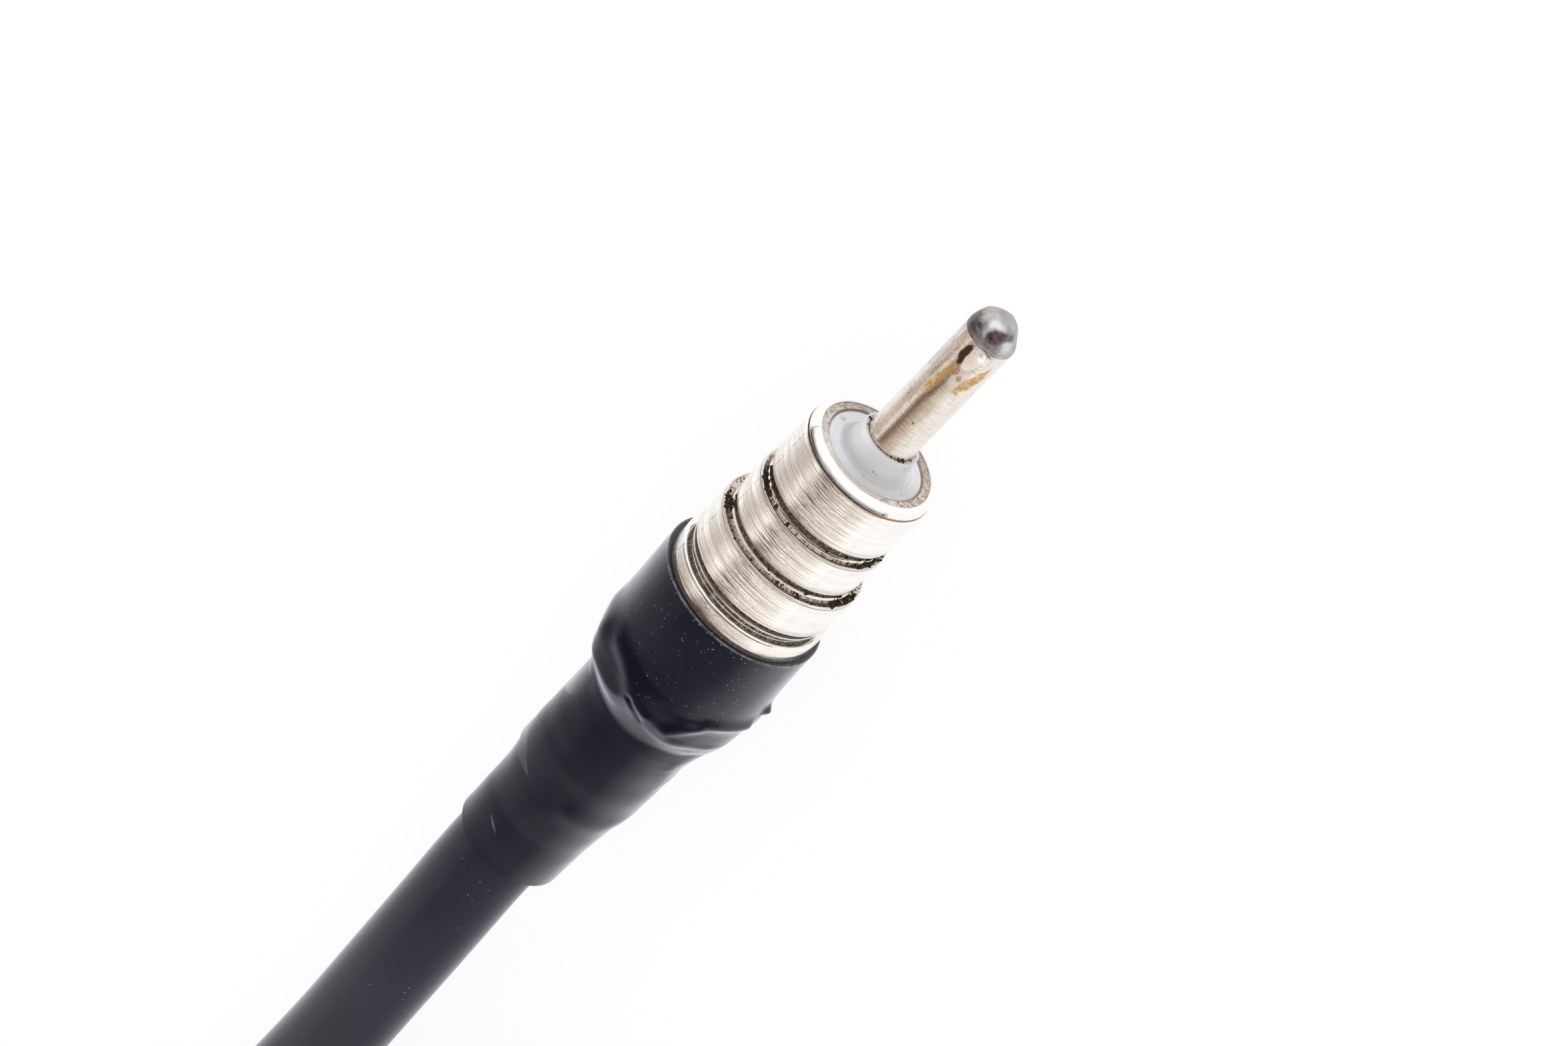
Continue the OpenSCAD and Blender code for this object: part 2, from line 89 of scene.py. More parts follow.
# Height of the plug's axis, which is the radius of the sleeve that it lies on
AXIS_Z = SLEEVE_R = 5.145
PLUG = Place((0, 0, AXIS_Z), 0)
SOCKET = Place((21.8243, -79.0336, 6.0), -3.15385)
# Front face of the collar, on the plug and on the socket
PLUG_COLLAR_X = 0.8
SOCKET_COLLAR_X = -27.6
# Direction across the plug that faces the camera most, and the one square to it
FACING = np.array([0, -0.3256, 0.9455])
ACROSS = np.array([0, -0.9455, -0.3256])


def show(name, data):
    """A new object in the scene that shows data: a mesh, a lamp or the camera."""
    made = bpy.data.objects.new(name, data)
    bpy.context.scene.collection.objects.link(made)
    return made


def on_plug(x, turn, radius):
    """The point at a place x, a turn in degrees from FACING, and a distance off the plug's axis."""
    turn = math.radians(turn)
    _, y, z = radius * (math.cos(turn) * FACING + math.sin(turn) * ACROSS)
    return (x, y, z)


def eased(share):
    """A share held between 0 and 1, with a soft start and end."""
    share = np.clip(share, 0, 1)
    return share * share * (3 - 2 * share)


print("plug axis", AXIS_Z, "mm above the floor")

# %% [markdown]
# ## Camera
# A long lens close to the plug, looking down its pin from the front and above. The three
# directions are the camera's own: to its right, up, and back from the plug towards it.

# %% Camera
AIM = Vector((7.3, 0, 5.15))
CAMERA_DISTANCE = 322
# Steps, in millimetres, that the camera takes sideways and upwards after it has taken aim
STEP_RIGHT, STEP_UP = -2.2744, -0.8736
back = Vector((0.559, -0.27, 0.78398)).normalized()
right = Vector((0.57495, -0.55506, -0.60112))
right = (right - back * right.dot(back)).normalized()
up = back.cross(right)
camera_data = bpy.data.cameras.new("camera")
camera_data.lens = 136.64
camera_data.sensor_width = 36
camera_data.clip_start = 0.01
camera = show("camera", camera_data)
stand = (AIM + CAMERA_DISTANCE * back + STEP_RIGHT * right + STEP_UP * up) * MM
camera.matrix_world = Matrix.Translation(stand) @ Matrix((right, up, back)).transposed().to_4x4()
bpy.context.scene.camera = camera
print("camera at", [round(v, 4) for v in stand])

# %% [markdown]
# ## A bench for node trees
# Materials and Geometry Nodes are both trees of nodes. One class makes any node: it takes the
# node's type, its settings, and the values or links of its sockets. A second small class wraps
# one output, so that sums are written as plain Python and turn into Math nodes.


# %% Values that can be reckoned with
def both_ways(operation):
    """The methods for a value on the left of a sign, and for one on its right."""
    return (
        lambda self, other: self.reckon(operation, self, other),
        lambda self, other: self.reckon(operation, other, self),
    )


class Value:
    """One output of a node tree. Arithmetic on it adds Math nodes."""

    __add__, __radd__ = both_ways("ADD")
    __sub__, __rsub__ = both_ways("SUBTRACT")
    __mul__, __rmul__ = both_ways("MULTIPLY")
    __truediv__, __rtruediv__ = both_ways("DIVIDE")
    __pow__, __rpow__ = both_ways("POWER")

    def __init__(self, bench, socket):
        self.bench = bench
        self.socket = socket

    def reckon(self, operation, *terms):
        return self.bench.node("ShaderNodeMath", {"operation": operation}, dict(enumerate(terms)))

    def __abs__(self):
        return self.reckon("ABSOLUTE", self)


class Bench:
    """Makes and links the nodes of one tree."""

    def __init__(self, tree):
        self.tree = tree

    def link(self, value, socket):
        if isinstance(value, Value):
            self.tree.links.new(value.socket, socket)
        else:
            socket.default_value = value

    def node(self, kind, settings=None, values=None, out=0):
        made = self.tree.nodes.new(kind)
        for name, setting in (settings or {}).items():
            if name == "stops":
                self.set_stops(made.color_ramp, setting)
            else:
                setattr(made, name, setting)
        for name, value in (values or {}).items():
            self.link(value, made.inputs[name])
        return Value(self, made.outputs[out])

    def set_stops(self, ramp, stops):
        while len(ramp.elements) < len(stops):
            ramp.elements.new(1)
        for element, (position, colour) in zip(ramp.elements, stops):
            element.position = position
            element.color = (*colour, 1)

    def parts(self, vector):
        return [self.node("ShaderNodeSeparateXYZ", None, {0: vector}, out) for out in range(3)]

    def join(self, x, y, z):
        return self.node("ShaderNodeCombineXYZ", None, {0: x, 1: y, 2: z})

    def stretch(self, vector, scale):
        return self.node("ShaderNodeMapping", None, {"Vector": vector, "Scale": scale})

    def noise(self, vector, scale, detail, rough):
        values = {"Vector": vector, "Scale": scale, "Detail": detail, "Roughness": rough}
        return self.node("ShaderNodeTexNoise", None, values)

    def streaks(self, vector, scale, detail, rough):
        """Noise with a scale of its own along each axis, so that it is drawn out."""
        return self.noise(self.stretch(vector, scale), 1.0, detail, rough)

    def specks(self, vector, scale, small, large):
        """1 in dots round points strewn at random, as small and as large as shares of a cell."""
        cells = self.node("ShaderNodeTexVoronoi", None, {"Vector": vector, "Scale": scale})
        return self.fall(cells, small, large)

    def rise(self, value, low, high):
        """0 below low, 1 above high, and a smooth step between them."""
        settings = {"interpolation_type": "SMOOTHSTEP"}
        values = {"Value": value, "From Min": low, "From Max": high}
        return self.node("ShaderNodeMapRange", settings, values)

    def fall(self, value, low, high):
        return 1 - self.rise(value, low, high)

    def band(self, value, low, high, soft):
        """1 between low and high, fading over soft on both sides."""
        return self.rise(value, low - soft, low + soft) * self.fall(value, high - soft, high + soft)

    def size(self, *parts):
        total = parts[0] * parts[0]
        for part in parts[1:]:
            total = total + part * part
        return total**0.5

    def largest(self, first, *others):
        for other in others:
            first = first.reckon("MAXIMUM", first, other)
        return first

    def mix(self, share, a, b):
        """Colour a, with a share of colour b laid over it."""
        a, b = [v if isinstance(v, Value) else (*v, 1) for v in (a, b)]
        return self.node("ShaderNodeMix", {"data_type": "RGBA"}, {0: share, 6: a, 7: b}, 2)

    def ramp(self, value, *stops):
        return self.node("ShaderNodeValToRGB", {"stops": stops}, {0: value})


# %% [markdown]
# ## A bench for finishes
# Every finish is one Principled shader. Its pattern is read in millimetres along a connector's
# axis: x along it, and y and z across it. A turn is an angle round the axis, counted from the side
# that faces the camera. Soft masks pick out bands along the axis and patches at a place and turn,
# and noise that is stretched round the axis gives the marks that a lathe leaves.


# %% Finishes
class Finish(Bench):
    """A material built round one Principled shader."""

    def __init__(self, name, place=PLUG, **sockets):
        self.material = bpy.data.materials.new(name)
        self.material.use_nodes = True
        super().__init__(self.material.node_tree)
        self.shader = self.tree.nodes["Principled BSDF"]
        self.place = place
        for socket, value in sockets.items():
            self.feed(socket.replace("_", " "), value)

    def feed(self, socket, value):
        self.link(value, self.shader.inputs[socket])

    def paint(self, share, tint):
        """Lays a share of a colour over what is painted so far."""
        self.colour = self.mix(share, self.colour, tint)

    def done(self, rough, height, depth):
        """Feeds the paint, the roughness and bumps of a height, as deep as depth in millimetres."""
        self.feed("Base Color", self.colour)
        self.feed("Roughness", rough)
        bumps = {"Height": height, "Distance": depth * MM}
        self.feed("Normal", self.node("ShaderNodeBump", None, bumps))
        return self

    def spot(self):
        """The point on the surface, in millimetres in the finish's place."""
        spot = self.node("ShaderNodeTexCoord", out="Object")
        settings = {"vector_type": "TEXTURE"}
        values = {
            "Vector": spot,
            "Location": tuple(self.place.origin * MM),
            "Rotation": (0, 0, self.place.heading),
            "Scale": (MM, MM, MM),
        }
        return self.node("ShaderNodeMapping", settings, values)

    def turn(self, y, z):
        """Degrees round the axis from FACING, counted towards ACROSS."""
        across = y * float(ACROSS[1]) + z * float(ACROSS[2])
        facing = y * float(FACING[1]) + z * float(FACING[2])
        return across.reckon("ARCTAN2", across, facing) * (180 / math.pi)

    def far(self, x, turn, middle, half):
        """Distance from middle, a place and a turn, as a share of half, another such pair."""
        return self.size((x - middle[0]) / half[0], (turn - middle[1]) / half[1])

    def patch(self, x, turn, middle, half, ragged):
        """1 in an oval round middle that is half wide and long, with a ragged edge."""
        return self.fall(self.far(x, turn, middle, half) + ragged, 0.6, 1.0)

    def near(self, spot, point, reach):
        """1 round a point, fading out within reach of it."""
        settings = {"operation": "DISTANCE"}
        far = self.node("ShaderNodeVectorMath", settings, {0: spot, 1: point}, 1)
        return self.fall(far, reach * 0.3, reach)


# %% [markdown]
# ## Meshes
# Pieces are drawn as points in millimetres and faces between them. A turned piece is an outline
# of corners, each with its own small rounding, swept once round the axis. The rounding matters
# more than it seems: real edges always catch a thin line of light, and a knife edge never does.


# %% Meshes and turned pieces
def raw_mesh(name, points, edges, faces):
    """A mesh from points in metres."""
    mesh = bpy.data.meshes.new(name)
    mesh.from_pydata([tuple(p) for p in points], edges, faces)
    return mesh


def build(name, points, faces, finish, place=None, recalc=True):
    """A mesh object whose place is in its points."""
    points = place.put(points) if place else np.asarray(points) * MM
    mesh = raw_mesh(name, points, [], faces)
    if recalc:
        work = bmesh.new()
        work.from_mesh(mesh)
        bmesh.ops.recalc_face_normals(work, faces=work.faces)
        work.to_mesh(mesh)
        work.free()
    mesh.polygons.foreach_set("use_smooth", [True] * len(mesh.polygons))
    mesh.set_sharp_from_angle(angle=math.radians(40))
    mesh.materials.append(finish.material)
    print(name, len(mesh.vertices), "points")
    return show(name, mesh)


def rounded(corners, steps=4, hold=0.03):
    """The outline through corners of (x, r, rounding), with its corners rounded."""
    outline = []
    count = len(corners)
    for i, (x, r, rounding) in enumerate(corners):
        corner = np.array([x, r], float)
        to_last = np.array(corners[i - 1][:2]) - corner
        to_next = np.array(corners[(i + 1) % count][:2]) - corner
        last_len, next_len = np.linalg.norm(to_last), np.linalg.norm(to_next)
        if rounding == 0:
            outline.append(corner)
            continue
        to_last, to_next = to_last / last_len, to_next / next_len
        half = math.acos(max(-1, min(1, to_last @ to_next))) / 2
        back_off = min(rounding / math.tan(half), 0.48 * last_len, 0.48 * next_len)
        a, b = corner + to_last * back_off, corner + to_next * back_off
        spare = min(hold, 0.01 * last_len + 0.002, 0.01 * next_len + 0.002)
        outline.append(a + to_last * spare)
        for k in range(steps + 1):
            t = k / steps
            outline.append((1 - t) ** 2 * a + 2 * t * (1 - t) * corner + t * t * b)
        outline.append(b + to_next * spare)
    return np.array(outline)


def all_round(sides):
    """That many turns in degrees, evenly round the axis."""
    return np.linspace(-180, 180, sides, endpoint=False)


def ring_faces(rings, sides, closed, first=0):
    """Faces between rings of points; the last ring joins the first where closed."""
    faces = []
    for i in range(rings if closed else rings - 1):
        a, b = first + i * sides, first + ((i + 1) % rings) * sides
        for k in range(sides):
            n = (k + 1) % sides
            faces.append((a + k, a + n, b + n, b + k))
    return faces


def turned(name, corners, finish, place=PLUG, sides=160, shift=0.0):
    """A closed piece turned about the axis from an outline that stays clear of the axis."""
    outline = rounded(corners)
    angles = np.linspace(0, 2 * math.pi, sides, endpoint=False)
    points = [(x + shift, r * math.cos(a), r * math.sin(a)) for x, r in outline for a in angles]
    return build(name, points, ring_faces(len(outline), sides, True), finish, place)


# %% [markdown]
# ## Lead
# The free cable is one tube, 5.7 mm thick, that leaves the sleeve, sinks to the floor, winds in
# through two turns, climbs half a turn, winds out again on top and runs down to the socket. Its
# length is fixed, so the route is worked out first, as points along its centre. Geometry Nodes
# then sweep a circle along the route, which keeps the tube round and lets the number of sides
# change without touching the route.

# %% Route of the lead
LEAD_D = 5.7
# Distance between two turns of the coil, and the radius at which it starts
PITCH = 6.4
COIL_R = 37
# Turns that lie on the floor, and the part of a turn in which the lead climbs on top of them
LOW_TURNS, CLIMB = 2, 0.5
INNER_R = COIL_R - LOW_TURNS * PITCH
# Heights of the cable's centre on the floor and on top of the lower turns
LOW_Z, HIGH_Z = 3.45, 9.85
COIL_TURNS = 4.5
SLOPE = math.degrees(math.atan(PITCH / (2 * math.pi * COIL_R)))
STEPS_PER_TURN = 96
# Points of the stretch from the sleeve to the coil
RUN = [
    (-23.9, 0, AXIS_Z), (-27, -0.05, 5.15), (-31, -0.2, 5.05), (-35, -0.3, 4.85),
    (-39, -0.35, 4.55), (-43, -0.4, 4.25), (-47, -0.35, 3.95), (-51, -0.25, 3.7),
    (-55, -0.1, 3.5), (-59, 0, LOW_Z), (-62.3, 0, LOW_Z),
]
# Way out from the coil to the socket, and the share of the way down
TAIL = [
    (0, 0), (4, 0), (8, 0.06), (12, 0.22), (16, 0.46),
    (20, 0.7), (24, 0.88), (28, 0.98), (31, 1), (34, 1),
]


def direction(degrees):
    return np.array([math.cos(math.radians(degrees)), math.sin(math.radians(degrees)), 0])


def coil_radius(t):
    s = t - LOW_TURNS
    if s < 0:
        return COIL_R - PITCH * t
    if s < CLIMB:
        return INNER_R - PITCH * s + PITCH * s * s / CLIMB
    return INNER_R + PITCH * (s - CLIMB)


def coil_height(t):
    return LOW_Z + (HIGH_Z - LOW_Z) * eased((t - LOW_TURNS) / CLIMB)


coil_centre = np.array([-68, 0, 0]) - COIL_R * direction(90 - SLOPE)


def coil_point(t):
    flat = coil_centre + coil_radius(t) * direction(90 - SLOPE + 360 * t)
    return flat + np.array([0, 0, coil_height(t)])


def through(points, parts):
    """A smooth line through points, each stretch cut in parts."""
    points = [np.array(p, float) for p in points]
    line = []
    for i in range(len(points) - 1):
        a, b = points[i], points[i + 1]
        before = points[i - 1] if i else 2 * a - b
        after = points[i + 2] if i + 2 < len(points) else 2 * b - a
        for k in range(parts):
            t = k / parts
            ease_in, ease_out = t * (1 - t) ** 2, t * t * (1 - t)
            slopes = ease_in * (b - before) / 2 - ease_out * (after - a) / 2
            line.append(a + (b - a) * eased(t) + slopes)
    return line + [points[-1]]


leave = direction(-2 * SLOPE)
coil_end = coil_point(COIL_TURNS) + LEAD_D * leave
to_socket = np.array([0, 0, SOCKET.origin[2] - HIGH_Z])
tail = [coil_end + out * leave + down * to_socket for out, down in TAIL]
coil = [coil_point(i / STEPS_PER_TURN) for i in range(int(COIL_TURNS * STEPS_PER_TURN) + 1)]
route = np.array(through(RUN, 4) + coil + through(tail, 4))


# %% Tube that follows the route
class Grower(Bench):
    """A Geometry Nodes tree with named inputs, run once on an object and then baked in."""

    def __init__(self, name, inputs):
        super().__init__(bpy.data.node_groups.new(name, "GeometryNodeTree"))
        face = self.tree.interface
        face.new_socket("Geometry", in_out="INPUT", socket_type="NodeSocketGeometry")
        self.ids = {}
        for label, kind in inputs.items():
            made = face.new_socket(label, in_out="INPUT", socket_type=kind)
            self.ids[label] = made.identifier
        face.new_socket("Geometry", in_out="OUTPUT", socket_type="NodeSocketGeometry")
        self.entry = self.tree.nodes.new("NodeGroupInput")
        self.exit = self.tree.nodes.new("NodeGroupOutput")

    def given(self, label):
        return Value(self, self.entry.outputs[label])

    def end(self, geometry, finish):
        real = self.node("GeometryNodeRealizeInstances", None, {0: geometry})
        values = {"Geometry": real, "Material": finish.material}
        self.link(self.node("GeometryNodeSetMaterial", None, values), self.exit.inputs[0])

    def grow(self, thing, **values):
        """Runs the tree on an object and leaves a plain mesh behind."""
        modifier = thing.modifiers.new(self.tree.name, "NODES")
        modifier.node_group = self.tree
        for label, value in values.items():
            modifier[self.ids[label.replace("_", " ")]] = value
        graph = bpy.context.evaluated_depsgraph_get()
        plain = bpy.data.meshes.new_from_object(thing.evaluated_get(graph))
        thing.modifiers.clear()
        thing.data = plain
        print(thing.name, len(plain.vertices), "points grown")
        return thing


def tube_tree(finish):
    """Sweeps a circle along a line, and notes on the tube how far along and round it a point is."""
    tree = Grower("tube", {"Radius": "NodeSocketFloat", "Sides": "NodeSocketInt"})
    line = tree.node("GeometryNodeMeshToCurve", None, {0: tree.given("Geometry")})
    along = tree.node("GeometryNodeSplineParameter", out="Length")
    noted = {"Geometry": line, "Name": "along", "Value": along}
    line = tree.node("GeometryNodeStoreNamedAttribute", {"data_type": "FLOAT"}, noted)
    values = {"Resolution": tree.given("Sides"), "Radius": tree.given("Radius")}
    circle = tree.node("GeometryNodeCurvePrimitiveCircle", None, values)
    here = tree.node("GeometryNodeInputPosition")
    noted = {"Geometry": circle, "Name": "around", "Value": here}
    circle = tree.node("GeometryNodeStoreNamedAttribute", {"data_type": "FLOAT_VECTOR"}, noted)
    values = {"Curve": line, "Profile Curve": circle, "Fill Caps": True}
    swept = tree.node("GeometryNodeCurveToMesh", None, values)
    tree.end(tree.node("GeometryNodeSetShadeSmooth", None, {0: swept}), finish)
    return tree


# %% [markdown]
# ## The cable's jacket
# The jacket is matt blue-black plastic. A new one is even, and this one has been handled: faint
# lengthwise drawing marks, a slightly duller bloom in patches, and pale specks of dust that have
# stuck to it. The pattern reads the tube's own length and direction round it, so it follows the
# cable through every bend.


# %% Jacket finish
# A matt black skin shows a soft bluish light at its edges
RUBBER = {
    "IOR": 1.5,
    "Sheen_Weight": 1.0,
    "Sheen_Roughness": 0.31,
    "Sheen_Tint": (0.86, 0.90, 1.0, 1.0),
}


def jacket_finish():
    look = Finish("jacket_rubber", Specular_IOR_Level=0.22, **RUBBER)
    along = look.node("ShaderNodeAttribute", {"attribute_name": "along"}, out="Fac") * 1000
    around = look.node("ShaderNodeAttribute", {"attribute_name": "around"}, out="Vector")
    side_a, side_b, _ = look.parts(around)
    skin = look.join(along, side_a * 1000, side_b * 1000)
    drawn = look.streaks(skin, (0.04, 3.5, 3.5), 3, 0.6)
    bloom = look.noise(skin, 0.11, 3, 0.55)
    grain = look.noise(skin, 9.0, 2, 0.6)
    dust = look.specks(skin, 1.3, 0.05, 0.09) * look.rise(bloom, 0.5, 0.62)
    dark, light = (0.0018, 0.0023, 0.0115), (0.0050, 0.0058, 0.0175)
    look.colour = look.ramp(bloom, (0.3, dark), (0.75, light))
    look.paint(drawn * 0.25, (0.013, 0.013, 0.022))
    look.paint(dust * 0.6, (0.23, 0.22, 0.22))
    return look.done(0.29 + bloom * 0.18 + dust * 0.2, drawn * 0.6 + grain * 0.4, 0.012)


jacket = jacket_finish()


def edge_line(name, points):
    """A bare line of edges through points, in metres, for a tree to work on."""
    edges = [(i, i + 1) for i in range(len(points) - 1)]
    return show(name, raw_mesh(name, points, edges, []))


lead = edge_line("free_lead", route * MM)
tube_tree(jacket).grow(lead, Radius=LEAD_D / 2 * MM, Sides=48)
# The plug's metal mirrors the room and not the black coil behind it
lead.visible_glossy = False

# %% [markdown]
# ## Floor, world and lamps
# The floor is pale and almost blends with a white world, so the lead seems to lie on a light
# table and keeps only a faint shadow. Rays from the camera and from glossy surfaces see both as
# white. Metal has no colour of its own, it shows the room, so the room that glossy rays see has
# what any studio has: long white panels, a greyer far side, and the dark strip where the camera
# stands. Diffuse rays meet a plain even world.


# %% Floor and world
FLOOR_GLOW, FLOOR_HALF = 0.92, 3000


def ray(bench, kind):
    """1 for rays of a kind: Camera, Glossy or Transmission."""
    return bench.node("ShaderNodeLightPath", out=f"Is {kind} Ray")


def lay_floor():
    look = Finish("floor", Roughness=0.9)
    glow = look.node("ShaderNodeEmission", None, {"Color": (1, 1, 1, 1), "Strength": 1.0})
    matt = look.node("ShaderNodeBsdfDiffuse", None, {"Color": (0.97, 0.97, 0.97, 1)})
    direct = look.largest(*[ray(look, kind) for kind in ("Camera", "Glossy", "Transmission")])
    both = look.node("ShaderNodeMixShader", None, {0: direct * FLOOR_GLOW, 1: matt, 2: glow})
    look.link(both, look.tree.nodes["Material Output"].inputs["Surface"])
    corners = [(x * FLOOR_HALF, y * FLOOR_HALF, 0) for x, y in ((-1, -1), (1, -1), (1, 1), (-1, 1))]
    return build("floor", corners, [(0, 1, 2, 3)], look, recalc=False)


floor = lay_floor()

# The room that glossy surfaces see. First the angle about the plug's axis, in degrees from the
# direction that faces the camera most, and the colour of what stands there, 1 being a white panel
ROOM_ROUND = [
    (-180, (0.98, 0.98, 0.98)),
    (-136, (0.98, 0.98, 0.98)),
    (-120, (0.87, 0.83, 0.77)),
    (-104, (0.82, 0.77, 0.71)),
    (-88, (0.64, 0.57, 0.51)),
    (-72, (0.60, 0.53, 0.47)),
    (-62, (0.76, 0.70, 0.64)),
    (-56, (0.92, 0.86, 0.80)),
    (-48, (0.88, 0.80, 0.74)),
    (-40, (0.46, 0.36, 0.30)),
    (-32, (0.21, 0.13, 0.10)),
    (-24, (0.19, 0.12, 0.09)),
    (-16, (0.29, 0.20, 0.16)),
    (-8, (0.42, 0.33, 0.27)),
    (0, (0.56, 0.47, 0.40)),
    (8, (0.60, 0.50, 0.42)),
    (16, (0.67, 0.58, 0.49)),
    (32, (0.79, 0.72, 0.65)),
    (44, (0.90, 0.86, 0.80)),
    (56, (0.97, 0.95, 0.91)),
    (72, (1.0, 0.99, 0.97)),
    (180, (1.0, 1.0, 1.0)),
]
# Then the same along the axis, by the x of a direction: how much white and how much dark cover
# the colours above, and how much of a soft light's glow is added
ROOM_ALONG = [
    (-1.0, 1, 0, 1.0),
    (-0.90, 1, 0, 1.0),
    (-0.80, 1, 0, 0.1),
    (-0.66, 0, 0, 0),
    (-0.50, 0, 0, 0),
    (-0.38, 0, 0.95, 0),
    (-0.02, 0, 0.95, 0),
    (0.12, 0.2, 0.3, 0),
    (0.26, 1, 0, 0),
    (1.0, 1, 0, 0),
]
ROOM_BRIGHT = 1.15
ROOM_GLOW = 2.6
WORLD_FILL = 0.86


def light_world():
    world = bpy.data.worlds.new("studio")
    bpy.context.scene.world = world
    world.use_nodes = True
    room = Bench(world.node_tree)
    where = room.node("ShaderNodeTexCoord", out="Generated")
    dots = [
        room.node("ShaderNodeVectorMath", {"operation": "DOT_PRODUCT"}, {0: where, 1: axis}, 1)
        for axis in (tuple(ACROSS), tuple(FACING))
    ]
    turn = dots[0].reckon("ARCTAN2", *dots) / (2 * math.pi) + 0.5
    seen = room.ramp(turn, *[((degrees + 180) / 360, colour) for degrees, colour in ROOM_ROUND])
    along = room.parts(where)[0] * 0.5 + 0.5
    white, dark, glow = [
        room.ramp(along, *[((row[0] + 1) / 2, (row[column],) * 3) for row in ROOM_ALONG])
        for column in (1, 2, 3)
    ]
    seen = room.mix(white, seen, (1, 1, 1))
    dark = dark * room.rise(turn, 0.04, 0.16) * room.fall(turn, 0.62, 0.80)
    glow = room.largest(glow, room.fall(turn, 0.06, 0.17) * 0.5)
    seen = room.mix(dark, seen, (0.045, 0.022, 0.020))
    glossy = ray(room, "Glossy")
    colour = room.mix(glossy, (1, 1, 1), seen)
    room_light = glow * ROOM_GLOW + (ROOM_BRIGHT - WORLD_FILL)
    strength = room.largest(ray(room, "Camera"), WORLD_FILL + glossy * room_light)
    background = world.node_tree.nodes["Background"]
    room.link(colour, background.inputs["Color"])
    room.link(strength, background.inputs["Strength"])


light_world()


def lamp(name, spot, size, power):
    """A soft square lamp at spot, in metres, that points at the origin."""
    data = bpy.data.lights.new(name, "AREA")
    data.shape = "SQUARE"
    data.size = size
    data.energy = power
    made = show(name, data)
    made.location = spot
    made.rotation_euler = (-Vector(spot)).to_track_quat("-Z", "Y").to_euler()
    made.visible_glossy = False


lamp("key", (-0.35, -0.55, 0.65), 0.6, 2.2)
lamp("fill", (0.45, -0.55, 0.3), 0.6, 1.4)
lamp("edge", (-0.30, 0.65, 0.30), 0.5, 2.0)

# %% [markdown]
# ## Barrel and collar
# Both are turned brass with nickel plate. The lathe left fine lines round them, and years of use
# left brown-black dirt in the grooves and a stain along the edges. The shapes are outlines with
# rounded corners. The marks are noise stretched round the axis, and the dirt is a set of masks
# along the axis, broken up so that no band is even. Masks of the same kind carry painted shade
# deep in the grooves, behind the rim, at the bore's edge, under the sleeve's lip and on the
# underside, and a painted gold reflection beside the lip. The lines are drawn darker where the
# plate mirrors the room's dark strip, which is a painted reflection too.

# %% Barrel shape
# The rim rolls over in a quarter round that is longer than it is high
RIM = [(11.2 + 0.8 * math.cos(a), 3.6 + 0.5 * math.sin(a), 0) for a in np.radians(range(0, 91, 6))]


def groove(front, ledge, back, before, floor, ledge_r, after):
    """From the back edge of one step down to a floor, over a ledge and up the next step's wall,
    with a fine line cut round that step behind its edge."""
    return [
        (front, before, 0.04), (front, floor, 0.03), (ledge, floor, 0.02),
        (ledge - 0.07, ledge_r, 0.02), (back, ledge_r, 0.02), (back, after, 0.07),
        (back - 0.14, after, 0), (back - 0.17, after - 0.03, 0), (back - 0.20, after, 0),
    ]


BARREL = [
    (6.8, 3.05, 0), (11.90, 3.05, 0.02), (11.94, 3.09, 0.02), (11.94, 3.54, 0.02),
    *RIM,
    *groove(8.1, 7.47, 7.3, 4.1, 3.77, 3.88, 4.225),
    *groove(4.9, 4.48, 4.3, 4.225, 4.075, 4.18, 4.65),
    # The twin groove behind the last step has a rib in its middle
    (1.7, 4.65, 0.04), (1.5, 4.3, 0.03), (1.34, 4.3, 0.03), (1.28, 4.52, 0.05),
    (1.18, 4.52, 0.05), (1.06, 4.3, 0.03), (0.8, 4.3, 0),
    # The spigot that the collar sits on
    (0.8, 3.6, 0), (-3.7, 3.6, 0.1), (-3.7, 2.15, 0), (6.8, 2.15, 0),
]
COLLAR = [
    (0, 3.62, 0), (0, 4.825, 0.17), (-8.1, 4.825, 0.17), (-8.1, 2.17, 0),
    (-16.5, 2.17, 0), (-16.5, 1.9, 0), (-4.7, 1.9, 0), (-4.7, 3.62, 0),
]


